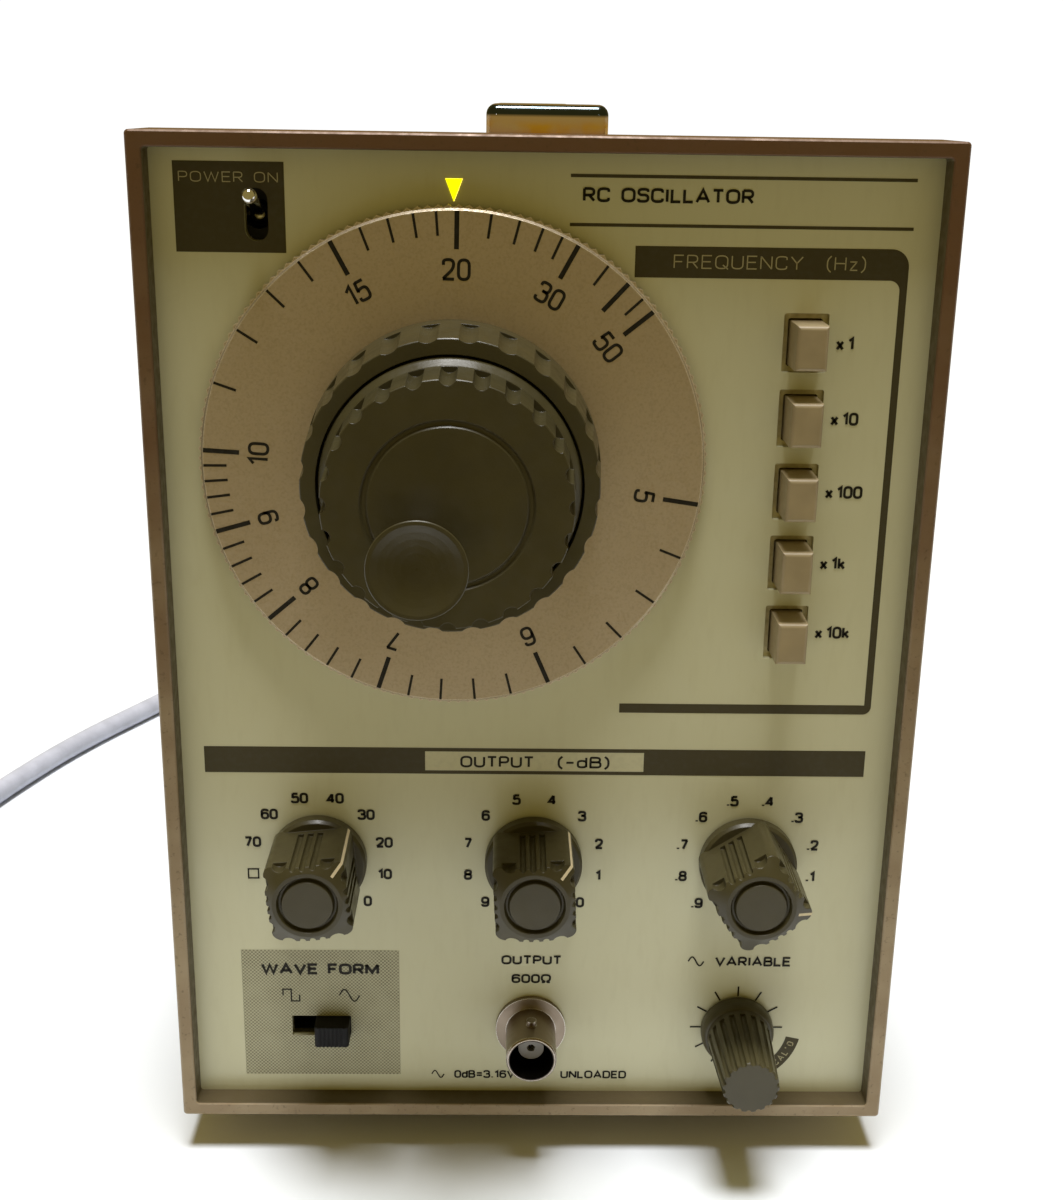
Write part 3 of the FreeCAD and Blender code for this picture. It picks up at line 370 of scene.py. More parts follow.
def dial_metal():
    """Champagne anodised aluminium with a fine matt grain and brighter edges."""
    finish = Finish("dial_metal", (0.50, 0.41, 0.29), 0.42, 0.72)
    finish.tint(finish.spread(finish.noise(45, 3.0), 0.35, 0.7, 0.0, 0.6), (0.56, 0.47, 0.35))
    finish.tint(finish.spread(finish.noise(2400, 3.0), 0.45, 0.75, 0.0, 0.5), (0.37, 0.29, 0.19))
    finish.tint(finish.edges(0.35), (0.86, 0.78, 0.66))
    finish.drive("Roughness", finish.spread(finish.noise(1800, 3.0), 0.3, 0.7, 0.34, 0.52))
    finish.bump(finish.noise(3000, 2.0), 0.008, 0.6)
    return finish


def metal(name, colour, roughness):
    """Turned or drawn metal with a fine lengthwise grain."""
    finish = Finish(name, colour, roughness, 1.0)
    grain = finish.noise(900, 3.0, (1, 0.1, 1))
    finish.tint(finish.spread(grain, 0.4, 0.7, 0.0, 0.5), [c * 0.7 for c in colour])
    finish.drive("Roughness", finish.spread(grain, 0.3, 0.7, roughness - 0.06, roughness + 0.1))
    return finish


def printed(name, colour):
    """Silk-screened ink with a slightly uneven coat."""
    finish = Finish(name, colour, 0.5, Specular_IOR_Level=0.25)
    thin = [0.6 * c + 0.04 for c in colour]
    finish.tint(finish.spread(finish.noise(900, 3.0), 0.45, 0.8, 0.0, 0.35), thin)
    finish.bump(finish.noise(2500, 2.0), 0.006, 0.4)
    return finish


def halftone(name, paper, ink, pitch):
    """A dot screen of ink whose rows of dots run diagonally, one dot to each pitch in millimetres."""
    finish = Finish(name, paper, 0.45)
    off_the_boundary = finish.add("ShaderNodeMapping", Vector=finish.place)
    off_the_boundary.inputs["Location"].default_value = (0, 0.1 * MM, 0)
    screen = finish.add("ShaderNodeTexChecker", Vector=off_the_boundary.outputs[0], Scale=2 / (pitch * MM))
    finish.tint(screen.outputs["Fac"], ink)
    finish.tint(finish.spread(finish.noise(260, 3.0), 0.35, 0.7, 0.0, 0.3), paper)
    return finish


def glowing(name, colour, strength):
    """Translucent plastic lit from behind, a little unevenly."""
    finish = Finish(name, colour, 0.3)
    finish.set("Emission Color", (*colour, 1))
    uneven = finish.noise(500, 2.0)
    finish.drive("Emission Strength", finish.spread(uneven, 0.3, 0.7, strength * 0.75, strength))
    return finish


def strap_grain():
    """Soft black plastic with a pressed leather grain."""
    finish = Finish("strap_grain", (0.018, 0.016, 0.014), 0.55)
    cells = finish.add("ShaderNodeTexVoronoi", Vector=finish.place, Scale=900.0)
    finish.bump(cells.outputs["Distance"], 0.12, 0.7)
    finish.tint(finish.spread(finish.noise(80, 3.0), 0.4, 0.7, 0.0, 0.7), (0.035, 0.03, 0.026))
    return finish


ink_dark = printed("ink_dark", (0.010, 0.008, 0.004))
ink_block = printed("ink_block", (0.060, 0.050, 0.022))
ink_light = printed("ink_light", (0.60, 0.58, 0.40))
ink_dim = printed("ink_dim", (0.42, 0.38, 0.22))
knob_plastic = moulded("knob_plastic", (0.055, 0.046, 0.018), 0.36, 0.02)
button_plastic = moulded("button_plastic", (0.36, 0.285, 0.165), 0.4)
black_plastic = moulded("black_plastic", (0.008, 0.008, 0.010), 0.55, Specular_IOR_Level=0.2)
cord_plastic = moulded("cord_plastic", (0.56, 0.58, 0.68), 0.42, 0.03)
white_plastic = moulded("white_plastic", (0.40, 0.38, 0.37), 0.4)
brown_plastic = moulded("brown_plastic", (0.12, 0.055, 0.025), 0.5)
board_laminate = moulded("board_laminate", (0.16, 0.13, 0.03), 0.5)
component_plastic = moulded("component_plastic", (0.03, 0.05, 0.11), 0.4)
rubber = moulded("rubber", (0.016, 0.016, 0.016), 0.7, 0.05)
bright_plating = plated("bright_plating", (0.78, 0.78, 0.78), 0.07)
# The pale edge colour is a painted highlight round the shell's rim.
nickel_plating = plated("nickel_plating", (0.27, 0.22, 0.175), 0.3, edge=(0.92, 0.90, 0.86))
# Painted shade inside the barrel: the shell darkens within 4.3 mm of the socket's axis.
nickel_plating.tint(nickel_plating.inside(BNC_X, BNC_Z, 4.3), (0.03, 0.026, 0.024))
fastener_plating = plated("fastener_plating", (0.62, 0.60, 0.55), 0.24)
zinc_steel = metal("zinc_steel", (0.56, 0.55, 0.50), 0.38)
passivated_steel = metal("passivated_steel", (0.50, 0.45, 0.28), 0.5)
brass = metal("brass", (0.62, 0.44, 0.18), 0.3)
# Painted shade: the BNC centre contact is brass darkened to near black, as it sits in shadow.
brass_in_painted_shade = metal("brass_in_painted_shade", (0.05, 0.038, 0.02), 0.5)
core_steel = metal("core_steel", (0.09, 0.08, 0.07), 0.5)
frame_finish = worn_frame_paint()
cover_finish = cover_paint()
handle_finish = handle_chrome()
panel_finish = panel_paint()
dial_finish = dial_metal()
screen_finish = halftone("screened_field", (0.46, 0.45, 0.305), (0.19, 0.175, 0.10), 0.72)
pointer_finish = glowing("pointer_plastic", (1.0, 0.93, 0.0), 1.35)
lamp_finish = glowing("lamp_glass", (1.0, 0.7, 0.3), 2.0)
strap_finish = strap_grain()


def dress(finish, *names):
    """Gives CAD nodes a finish; a name ending in * stands for every node that starts like it."""
    for name in names:
        for node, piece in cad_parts.items():
            if node == name or (name.endswith("*") and node.startswith(name[:-1])):
                for material_slot in piece.material_slots:
                    material_slot.material = finish.material


def dress_cad():
    dress(frame_finish, "front_frame")
    dress(panel_finish, "front_panel")
    dress(passivated_steel, "sub_panel")
    dress(cover_finish, "top_cover", "bottom_cover", "rear_panel")
    dress(zinc_steel, "chassis", "vernier_drive_housing", "tuning_potentiometer", "level_potentiometer")
    dress(fastener_plating, "case_screws", "panel_nuts", "crank_pin")
    dress(rubber, "feet")
    dress(bright_plating, "power_toggle")
    dress(handle_finish, "handle_end_caps")
    dress(strap_finish, "handle_strap")
    dress(dial_finish, "dial_disc")
    dress(knob_plastic, "coarse_knob", "fine_knob", "attenuator_knob_*", "level_knob", "crank_spinner")
    dress(brass, "tuning_shaft", "fine_shaft", "attenuator_shaft_*", "level_shaft", "board_standoffs")
    dress(brass_in_painted_shade, "bnc_contact")
    dress(pointer_finish, "pointer_lens")
    dress(lamp_finish, "pilot_lamp")
    dress(brown_plastic, "rotary_switches", "pushbutton_switch_bank")
    dress(black_plastic, "slide_actuator", "slide_switch_body", "fuse_holder", "power_switch_body")
    dress(button_plastic, "range_button_*")
    dress(nickel_plating, "bnc_shell")
    dress(white_plastic, "bnc_insulator")
    dress(board_laminate, "main_board")
    dress(component_plastic, "circuit_components")
    dress(core_steel, "transformer")


dress_cad()


# ---- printing ------------------------------------------------------------------------------
# Each glyph is its width, its corner radius and its strokes, in units of the capital height.
GLYPHS = {
    "0": (0.60, 0.30, [[(0, 0), (0, 1), (0.6, 1), (0.6, 0), (0, 0)]]),
    "1": (0.34, 0, [[(0.02, 0.76), (0.30, 1.0), (0.30, 0)]]),
    "2": (0.60, 0.28, [[(0.01, 0.72), (0.01, 1), (0.58, 1), (0.58, 0.55), (0, 0.02)],
                       [(-0.02, 0), (0.62, 0)]]),
    "3": (0.60, 0.25, [[(0.01, 0.78), (0.01, 1), (0.57, 1), (0.57, 0.54), (0.2, 0.54)],
                       [(0.2, 0.54), (0.6, 0.54), (0.6, 0), (0, 0), (0, 0.22)]]),
    "4": (0.62, 0, [[(0.46, 0), (0.46, 1)], [(0.44, 0.98), (0.02, 0.27), (0.64, 0.27)]]),
    "5": (0.60, 0.25, [[(0.56, 1), (0.08, 1)], [(0.09, 1.04), (0.05, 0.5)],
                       [(0.03, 0.5), (0.16, 0.63), (0.6, 0.63), (0.6, 0), (0, 0), (0, 0.2)]]),
    "6": (0.60, 0.28, [[(0, 0), (0, 0.61), (0.6, 0.61), (0.6, 0), (0, 0)],
                       [(0, 0.3), (0, 1), (0.57, 1), (0.57, 0.8)]]),
    "7": (0.58, 0, [[(0, 1), (0.6, 1)], [(0.57, 1.02), (0.2, 0)]]),
    "8": (0.60, 0.25, [[(0.03, 0.53), (0.03, 1), (0.57, 1), (0.57, 0.53), (0.03, 0.53)],
                       [(0, 0), (0, 0.53), (0.6, 0.53), (0.6, 0), (0, 0)]]),
    "9": (0.60, 0.28, [[(0, 0.39), (0, 1), (0.6, 1), (0.6, 0.39), (0, 0.39)],
                       [(0.6, 0.7), (0.6, 0), (0.03, 0), (0.03, 0.2)]]),
    "A": (0.74, 0, [[(0, 0), (0.37, 1.02), (0.74, 0)], [(0.13, 0.31), (0.61, 0.31)]]),
    "B": (0.60, 0.22, [[(0, 0), (0, 1), (0.1, 1)], [(0.08, 1), (0.56, 1), (0.56, 0.53), (0.05, 0.53)],
                       [(0.05, 0.53), (0.6, 0.53), (0.6, 0), (-0.06, 0)]]),
    "C": (0.62, 0.30, [[(0.62, 0.74), (0.62, 1), (0, 1), (0, 0), (0.62, 0), (0.62, 0.26)]]),
    "D": (0.64, 0.34, [[(0, 0.2), (0, 0), (0.64, 0), (0.64, 1), (0, 1), (0, 0.8)], [(0, -0.05), (0, 1.05)]]),
    "E": (0.54, 0, [[(0.56, 1), (0, 1), (0, 0), (0.56, 0)], [(0, 0.52), (0.5, 0.52)]]),
    "F": (0.52, 0, [[(0.54, 1), (0, 1), (0, 0)], [(0, 0.5), (0.46, 0.5)]]),
    "H": (0.62, 0, [[(0, 0), (0, 1)], [(0.62, 0), (0.62, 1)], [(0, 0.52), (0.62, 0.52)]]),
    "I": (0.06, 0, [[(0.03, 0), (0.03, 1)]]),
    "L": (0.50, 0, [[(0, 1), (0, 0), (0.52, 0)]]),
    "M": (0.78, 0, [[(0, 0), (0, 1)], [(0, 1), (0.39, 0.12), (0.78, 1)], [(0.78, 1), (0.78, 0)]]),
    "N": (0.64, 0, [[(0, 0), (0, 1)], [(0, 1), (0.64, 0)], [(0.64, 0), (0.64, 1)]]),
    "O": (0.70, 0.34, [[(0, 0), (0, 1), (0.7, 1), (0.7, 0), (0, 0)]]),
    "P": (0.58, 0.25, [[(0, 0), (0, 1)], [(0, 1), (0.58, 1), (0.58, 0.45), (0, 0.45)]]),
    "Q": (0.70, 0.34, [[(0, 0), (0, 1), (0.7, 1), (0.7, 0), (0, 0)], [(0.42, 0.28), (0.74, -0.06)]]),
    "R": (0.60, 0.25, [[(0, 0), (0, 1)], [(0, 1), (0.58, 1), (0.58, 0.46), (0, 0.46)],
                       [(0.3, 0.46), (0.6, 0)]]),
    "S": (0.58, 0.25, [[(0.57, 0.78), (0.57, 1), (0.01, 1), (0.01, 0.53), (0.58, 0.53), (0.58, 0),
                        (0, 0), (0, 0.22)]]),
    "T": (0.60, 0, [[(0, 1), (0.6, 1)], [(0.3, 1), (0.3, 0)]]),
    "U": (0.64, 0.30, [[(0, 1), (0, 0), (0.64, 0), (0.64, 1)]]),
    "V": (0.70, 0, [[(0, 1), (0.35, 0), (0.7, 1)]]),
    "W": (1.00, 0, [[(0, 1), (0.25, 0), (0.5, 0.95), (0.75, 0), (1, 1)]]),
    "Y": (0.68, 0, [[(0, 1), (0.34, 0.47), (0.68, 1)], [(0.34, 0.5), (0.34, 0)]]),
    "k": (0.46, 0, [[(0, 0), (0, 1)], [(0.44, 0.66), (0.02, 0.27)], [(0.16, 0.4), (0.46, 0)]]),
    "x": (0.46, 0, [[(0, 0), (0.46, 0.66)], [(0, 0.66), (0.46, 0)]]),
    "z": (0.42, 0, [[(0, 0.66), (0.42, 0.66)], [(0.4, 0.66), (0.02, 0)], [(0, 0), (0.44, 0)]]),
    "d": (0.50, 0.22, [[(0, 0), (0, 0.66), (0.5, 0.66), (0.5, 0), (0, 0)], [(0.5, 0), (0.5, 1)]]),
    "(": (0.20, 0.3, [[(0.22, 1.1), (0, 0.8), (0, 0.1), (0.22, -0.18)]]),
    ")": (0.20, 0.3, [[(0, 1.1), (0.22, 0.8), (0.22, 0.1), (0, -0.18)]]),
    "-": (0.44, 0, [[(0, 0.46), (0.44, 0.46)]]),
    "=": (0.60, 0, [[(0, 0.68), (0.6, 0.68)], [(0, 0.30), (0.6, 0.30)]]),
    ".": (0.12, 0, [[(0.06, -0.04), (0.06, 0.12)]]),
    "'": (0.08, 0, [[(0.04, 0.74), (0.04, 1.04)]]),
    "\u03a9": (0.72, 0.32, [[(0, 0), (0.24, 0), (0.24, 0.14), (0, 0.3), (0, 1), (0.72, 1), (0.72, 0.3),
                             (0.48, 0.14), (0.48, 0), (0.72, 0)]]),
    " ": (0.34, 0, []),
}
LETTER_GAP = 0.26                       # in the same units


CORNER_STEPS = 6


def soften(points, radius):
    """A polyline with its inner corners rounded by short curves; a closed one has equal ends."""
    if radius == 0 or len(points) < 3:
        return [Vector(p) for p in points]
    closed = points[0] == points[-1]
    ring = points[:-1] if closed else points
    made = []
    for k, corner in enumerate(ring):
        here = Vector(corner)
        if not closed and k in (0, len(ring) - 1):
            made.append(here)
            continue
        before = Vector(ring[k - 1]) - here
        after = Vector(ring[(k + 1) % len(ring)]) - here
        start = here + before.normalized() * min(radius, before.length / 2)
        end = here + after.normalized() * min(radius, after.length / 2)
        for n in range(CORNER_STEPS + 1):
            t = n / CORNER_STEPS
            made.append(start * (1 - t) ** 2 + here * 2 * t * (1 - t) + end * t ** 2)
    return made + made[:1] if closed else made


class Print:
    """Flat marks of one colour on a plane that faces the front."""

    def __init__(self, depth):
        self.bm = bmesh.new()
        self.depth = depth

    def polygon(self, points):
        self.bm.faces.new([self.bm.verts.new(place(x, self.depth, z)) for x, z in points])

    def bar(self, x0, x1, z0, z1):
        self.polygon([(x0, z0), (x1, z0), (x1, z1), (x0, z1)])

    def line(self, points, width):
        """A line of one width with mitred corners; it closes up if its ends are equal."""
        same = 1e-4
        points = [Vector(p) for p in points]
        kept = [p for k, p in enumerate(points) if k == 0 or (p - points[k - 1]).length > same]
        closed = len(kept) > 3 and (kept[0] - kept[-1]).length < same
        sides = []
        for k, here in enumerate(kept):
            before = kept[k - 1] if k else (kept[-2] if closed else here)
            after = kept[k + 1] if k + 1 < len(kept) else (kept[1] if closed else here)
            across = [Vector((-run.y, run.x)).normalized() for run in (here - before, after - here)
                      if run.length > 0]
            middle = sum(across, Vector((0, 0))).normalized()
            reach = width / 2 / max(middle.dot(across[0]), 0.5)
            sides.append((here + middle * reach, here - middle * reach))
        for (a, b), (c, d) in zip(sides, sides[1:]):
            self.polygon([a, b, d, c])

    def text(self, words, x, z, height, width=None, narrow=1.0, turn=0.0, weight=0.13, align=0.5):
        """Words centred on z with capitals of one height, weight being the stroke's share of it.
        width fits them to a width, and turn is clockwise in degrees. align is the share of the
        words that lies left of x."""
        total = sum(GLYPHS[c][0] + LETTER_GAP for c in words) - LETTER_GAP
        stroke = weight * height
        tall = height - stroke
        wide = (width - stroke) / total if width else tall * narrow
        c, s = math.cos(math.radians(turn)), math.sin(math.radians(turn))
        pen = -align * total
        for letter in words:
            advance, radius, strokes = GLYPHS[letter]
            for points in strokes:
                line = []
                for px, pz in soften(points, radius):
                    dx, dz = (pen + px) * wide, (pz - 0.5) * tall
                    line.append((x + c * dx + s * dz, z - s * dx + c * dz))
                self.line(line, stroke)
            pen += advance + LETTER_GAP

    def finish(self, name, finish, body="case", slot="panel_paint"):
        for face in self.bm.faces:
            face.normal_update()
            if face.normal.y > 0:
                face.normal_flip()
        return add_piece(name, self.bm, finish, body)


def around(x, z, radius, degrees):
    """The point at a clockwise angle from the top."""
    a = math.radians(degrees)
    return x + radius * math.sin(a), z + radius * math.cos(a)


def sine_mark(x0, x1, z, height, steps=24):
    """One period of a sine wave."""
    return [(x0 + (x1 - x0) * k / steps, z + height / 2 * math.sin(2 * math.pi * k / steps))
            for k in range(steps + 1)]


def arc_points(x, z, radius, start, end, steps=12):
    return [around(x, z, radius, start + (end - start) * k / steps) for k in range(steps + 1)]


def square_mark(x, z, half):
    """A closed square."""
    return [(x - half, z - half), (x + half, z - half), (x + half, z + half), (x - half, z + half),
            (x - half, z - half)]


# Each knob's labels, clockwise, after the angle of the first.
ATTENUATOR_LABELS = (
    (-75, ("70", "60", "50", "40", "30", "20", "10", "0")),
    (-135, ("9", "8", "7", "6", "5", "4", "3", "2", "1", "0")),
    (-135, (".9", ".8", ".7", ".6", ".5", ".4", ".3", ".2", ".1", "0")),
)
KNOB_STEP = 30                          # degrees between two marks round a knob
LABEL_RADIUS = 12.8


def attenuator_print(ink):
    for (x, z), (first, labels) in zip(ATTENUATORS, ATTENUATOR_LABELS):
        for k, label in enumerate(labels):
            lx, lz = around(x, z, LABEL_RADIUS, first + KNOB_STEP * k)
            ink.text(label, lx, lz, 2.2, narrow=1.1, weight=0.215)
    x, z = ATTENUATORS[0]
    for angle in (-105, -135):
        ink.line(square_mark(*around(x, z, LABEL_RADIUS + 0.1, angle), 0.95), 0.28)


def level_print(ink):
    for k in range(9):
        angle = KNOB_STEP * (k - 5)
        ink.line([around(LEVEL_X, LEVEL_Z, 6.9, angle), around(LEVEL_X, LEVEL_Z, 9.1, angle)], 0.33)
    ink.line(sine_mark(29.8, 32.8, 32.1, 1.9), 0.3)
    ink.text("VARIABLE", 42.4, 32.1, 2.1, width=14.8, weight=0.2)


def range_print(ink):
    for (_, z), label in zip(BUTTONS, ("1", "10", "100", "1k", "10k")):
        ink.text("x", 49.9, z, 2.4, align=0.0, narrow=1.1, weight=0.2)
        ink.text(label, 51.9, z, 2.3, align=0.0, narrow=1.1, weight=0.2)


def output_print(ink):
    ink.text("OUTPUT", -7.6, 73.8, 2.35, width=13.7, weight=0.18)
    ink.text("(-dB)", 8.4, 73.8, 2.35, width=9.6, weight=0.18)
    ink.text("OUTPUT", -0.6, 32.2, 2.0, width=11.7, weight=0.21)
    ink.text("600\u03a9", -0.6, 28.1, 2.0, width=7.7, weight=0.21)
    ink.line(sine_mark(-20.0, -17.6, 6.5, 1.6), 0.25)
    ink.text("0dB=3.16V", -15.4, 6.5, 1.8, align=0.0, narrow=1.2, weight=0.2)
    ink.text("UNLOADED", 18.4, 6.5, 1.8, align=1.0, width=13.1, weight=0.2)


def waveform_print(ink):
    ink.text("WAVE FORM", -41.5, 30.0, 2.45, width=22.8, weight=0.23)
    x, z, half, tall = -47.25, 24.2, 1.6, 2.6
    low, high = z - tall / 2, z + tall / 2
    ink.line([(x - half, z - 0.1), (x - half, high), (x, high), (x, low), (x + half, low),
              (x + half, z + 0.1)], 0.28)
    ink.line(sine_mark(-37.9, -34.0, z, tall), 0.28)


def print_panel():
    """Everything printed on the front panel, dark on light and light on dark."""
    ink = Print(PANEL_FRONT - 2.5 * INK)
    attenuator_print(ink)
    level_print(ink)
    range_print(ink)
    output_print(ink)
    waveform_print(ink)
    ink.text("RC OSCILLATOR", 6.0, 176.0, 2.4, width=28.5, align=0.0, weight=0.19)
    ink.finish("panel_lettering", ink_dark)
    print_blocks()
    light = Print(PANEL_FRONT - 2 * INK)
    light.bar(-20.95, 19.6, 72.0, 75.8)
    light.finish("output_title_box", ink_light)
    dim = Print(PANEL_FRONT - 2 * INK)
    dim.text("POWER ON", -52.8, 178.0, 1.7, width=16.4, weight=0.1)
    dim.text("FREQUENCY  (Hz)", 37.5, 165.3, 2.3, width=32.4, weight=0.09)
    curved_words(dim, (("C", 134), ("A", 127), ("L", 120.5), ("'", 115), ("D", 109)), 11.55)
    dim.finish("panel_reversed_lettering", ink_dim)
    print_field()


def print_field():
    """The screened field of the wave form slide, left open round the slide's slot."""
    field = Print(PANEL_FRONT - INK)
    x0, x1, z0, z1 = -56.65, -26.2, 6.4, 34.1
    left, right, low, high = SLIDE_X - 5.75, SLIDE_X + 5.75, SLIDE_Z - 2.2, SLIDE_Z + 2.2
    field.bar(x0, x1, z0, low)
    field.bar(x0, x1, high, z1)
    field.bar(x0, left, low, high)
    field.bar(right, x1, low, high)
    field.finish("waveform_field", screen_finish)


def curved_words(target, letters, radius):
    """Letters round the level knob at clockwise angles, with their tops towards it."""
    for letter, angle in letters:
        x, z = around(LEVEL_X, LEVEL_Z, radius, angle)
        target.text(letter, x, z, 1.35, turn=angle - 180, weight=0.16)


def slot_outline(x, z, half_width, half_height):
    """The left and right halves of an upright slot with round ends, each from bottom to top."""
    reach = half_height - half_width
    low = arc_points(x, z - reach, half_width, 180, 270)
    high = arc_points(x, z + reach, half_width, 270, 360)
    left = low + high
    return left, [(2 * x - px, pz) for px, pz in left]


def print_blocks():
    """The solid bars and blocks, and the rules of the title."""
    block = Print(PANEL_FRONT - INK)
    x0, x1, z0, z1 = -61.9, -43.6, 165.8, 180.5
    left, right = slot_outline(POWER_X, POWER_Z, 1.95, 4.3)
    block.polygon([(POWER_X, z0), (x0, z0), (x0, z1), (POWER_X, z1)] + left[::-1])
    block.polygon([(POWER_X, z1), (x1, z1), (x1, z0), (POWER_X, z0)] + right)
    block.bar(3.7, 61.3, 178.75, 179.3)
    block.bar(3.7, 61.3, 170.85, 171.4)
    block.bar(-61.7, 60.8, 71.3, 76.5)
    print_bracket(block)
    band = arc_points(LEVEL_X, LEVEL_Z, 12.9, 102, 140)
    band += arc_points(LEVEL_X, LEVEL_Z, 10.2, 140, 102)
    block.polygon(band)
    block.finish("panel_blocks", ink_block)


def print_bracket(block):
    """The bracket right of the dial: a heading bar, a thin upright and a foot, with rounded corners."""
    edge, upright = 61.07, 59.8
    top, heading, foot, bottom = 167.8, 162.6, 85.6, 83.8
    wide, middling, narrow = 3.0, 1.8, 1.5
    outer = arc_points(edge - wide, top - wide, wide, 0, 90)
    inner = arc_points(upright - middling, heading - middling, middling, 90, 0)
    lower = arc_points(edge - narrow, bottom + narrow, narrow, 90, 180)
    block.polygon([(14.8, heading), (14.8, top)] + outer + [(edge, heading)])
    block.bar(upright, edge, foot, heading)
    block.polygon([inner[0], (upright, heading), inner[-1]] + inner[-2:0:-1])
    block.polygon([(edge, foot)] + lower + [(14.7, bottom), (14.7, foot)])


def dial_angle(value):
    """Clockwise angle of a scale value from the pointer, for a resistance-tuned scale."""
    return 0.8 + (1750 if value < 20 else 1680) * (1 / 20 - 1 / value)


def dial_ticks():
    """(scale value, whether it is a major mark) along the whole scale."""
    values = [5 + 0.2 * k for k in range(25)] + list(range(10, 20))
    values += [20 + 2 * k for k in range(5)] + [30, 35, 40, 45, 50]
    major = (5, 6, 7, 8, 9, 10, 15, 20, 30, 40, 50)
    return [(v, any(abs(v - m) < 0.01 for m in major)) for v in values]


def print_dial():
    """The scale and its numbers, which turn with the dial."""
    ink = Print(DIAL_FRONT - INK)
    rim, number_radius = 43.0, 33.5
    for value, major in dial_ticks():
        angle = dial_angle(value)
        long, wide = (6.2, 0.8) if major else (4.0, 0.45)
        ends = [around(DIAL_X, DIAL_Z, rim - long, angle), around(DIAL_X, DIAL_Z, rim, angle)]
        ink.line(ends, wide)
    for value in (5, 6, 7, 8, 9, 10, 15, 20, 30, 50):
        angle = dial_angle(value)
        x, z = around(DIAL_X, DIAL_Z, number_radius, angle)
        ink.text(str(value), x, z, 3.7, turn=angle, narrow=0.93, weight=0.14)
    ink.finish("dial_scale", ink_dark, "dial", "dial_metal")


print_panel()
print_dial()


# ---- index lines ---------------------------------------------------------------------------
def ribbon(bm, x, z, angle, outline, width):
    """A narrow strip on a turned surface, along one clockwise angle, through (radius, depth) points."""
    a = math.radians(angle)
    across = Vector((math.cos(a), 0, -math.sin(a))) * width / 2 * MM
    pairs = []
    for radius, depth in outline:
        px, pz = around(x, z, radius, angle)
        middle = place(px, depth, pz)
        pairs.append((bm.verts.new(middle - across), bm.verts.new(middle + across)))
    for (a0, b0), (a1, b1) in zip(pairs, pairs[1:]):
        bm.faces.new((a0, b0, b1, a1))


def index_lines():
    """The cream line along each attenuator knob's pointer lobe, and on the level knob's skirt."""
    cream = printed("index_cream", (0.72, 0.62, 0.42))
    outline = [(9.72, 1.3), (9.72, -12.2), (7.0, -13.64)]
    for name, (x, z), angle in zip(("tens", "units", "tenths"), ATTENUATORS, (39, 42, 102)):
        bm = bmesh.new()
        ribbon(bm, x, z, angle, outline, 0.55)
        to_object("index_line_" + name, bm, cream, "attenuator_" + name)
    bm = bmesh.new()
    ribbon(bm, LEVEL_X, LEVEL_Z, -148, [(7.14, 3.4), (7.13, 2.6), (6.98, 1.7), (6.5, 0.9)], 0.6)
    to_object("index_line_level", bm, cream, "level_control")


index_lines()


# ---- mains lead ----------------------------------------------------------------------------
CORD_DIAMETER = 6.0
CORD_ROUTE = [
    (-28.0, 154.4, 30.0),
    (-28.2, 170.0, 29.2),
    (-31.0, 188.0, 26.0),
    (-42.5, 205.5, 20.5),
    (-61.5, 212.5, 14.0),
    (-81.5, 207.0, 8.2),
    (-96.0, 190.0, 4.2),
    (-105.5, 163.0, 3.0),
    (-122.0, 129.5, 3.0),
    (-141.5, 93.0, 3.0),
    (-154.0, 58.5, 3.0),
    (-160.0, 36.0, 3.0),
    (-161.5, 14.0, 3.0),
]
COIL_MID_RADIUS = 35.5
COIL_COLUMNS = 4
COIL_TURNS = 6.5
LAYER_RISE = 5.2
COIL_X = CORD_ROUTE[-1][0] - COIL_MID_RADIUS - (COIL_COLUMNS - 1) / 2 * CORD_DIAMETER
COIL_Y = CORD_ROUTE[-1][1]
PLUG_START = COIL_Y + 24.0
PLUG_HEIGHT = 8.0                       # of its axis above the table


def coil_column(turn):
    """Radius of one turn: the lower layer winds inwards and the upper one, in its valleys, outwards."""
    inner = COIL_MID_RADIUS - (COIL_COLUMNS - 1) / 2 * CORD_DIAMETER
    if turn < COIL_COLUMNS:
        return inner + (COIL_COLUMNS - 1 - turn) * CORD_DIAMETER
    return inner + (turn - COIL_COLUMNS + 0.5) * CORD_DIAMETER


def smooth(t):
    t = min(max(t, 0.0), 1.0)
    return t * t * (3 - 2 * t)


def coil_point(progress):
    """The coil's centreline after some turns; each turn steps to the next column near its end."""
    turn = int(progress)
    share = progress - turn
    step = smooth((share - 0.82) / 0.18)
    radius = coil_column(turn) + (coil_column(turn + 1) - coil_column(turn)) * step
    upper = CORD_DIAMETER / 2 + LAYER_RISE
    over = upper + 0.85
    if turn < COIL_COLUMNS - 1:
        z = CORD_DIAMETER / 2
    elif turn == COIL_COLUMNS - 1:
        z = CORD_DIAMETER / 2 + (over - CORD_DIAMETER / 2) * smooth((share - 0.5) / 0.3)
    else:
        lift = max(smooth((share - 0.7) / 0.1), 1 - smooth(share / 0.1))
        z = upper + (over - upper) * lift
    angle = -2 * math.pi * progress
    return COIL_X + radius * math.cos(angle), COIL_Y + radius * math.sin(angle), z


def cord_points():
    """The whole lead's control points, from the gland to the plug, in millimetres."""
    per_turn = 24
    coil = [coil_point(k / per_turn) for k in range(1, int(COIL_TURNS * per_turn) + 1)]
    x = coil[-1][0]
    tail = [(x, COIL_Y + 10.0, 8.3), (x, COIL_Y + 18.0, 8.1), (x, PLUG_START + 2.0, PLUG_HEIGHT)]
    return CORD_ROUTE + coil + tail


def nurbs(name, points, radius):
    """One open NURBS line through control points in millimetres."""
    curve = bpy.data.curves.new(name, "CURVE")
    curve.dimensions = "3D"
    spline = curve.splines.new("NURBS")
    spline.points.add(len(points) - 1)
    for target, point in zip(spline.points, points):
        target.co = (*metres(*point), 1)
    spline.order_u = 3
    spline.use_endpoint_u = True
    curve.resolution_u = 6
    curve.bevel_depth = radius * MM
    curve.bevel_resolution = 6
    curve.use_fill_caps = True
    return curve


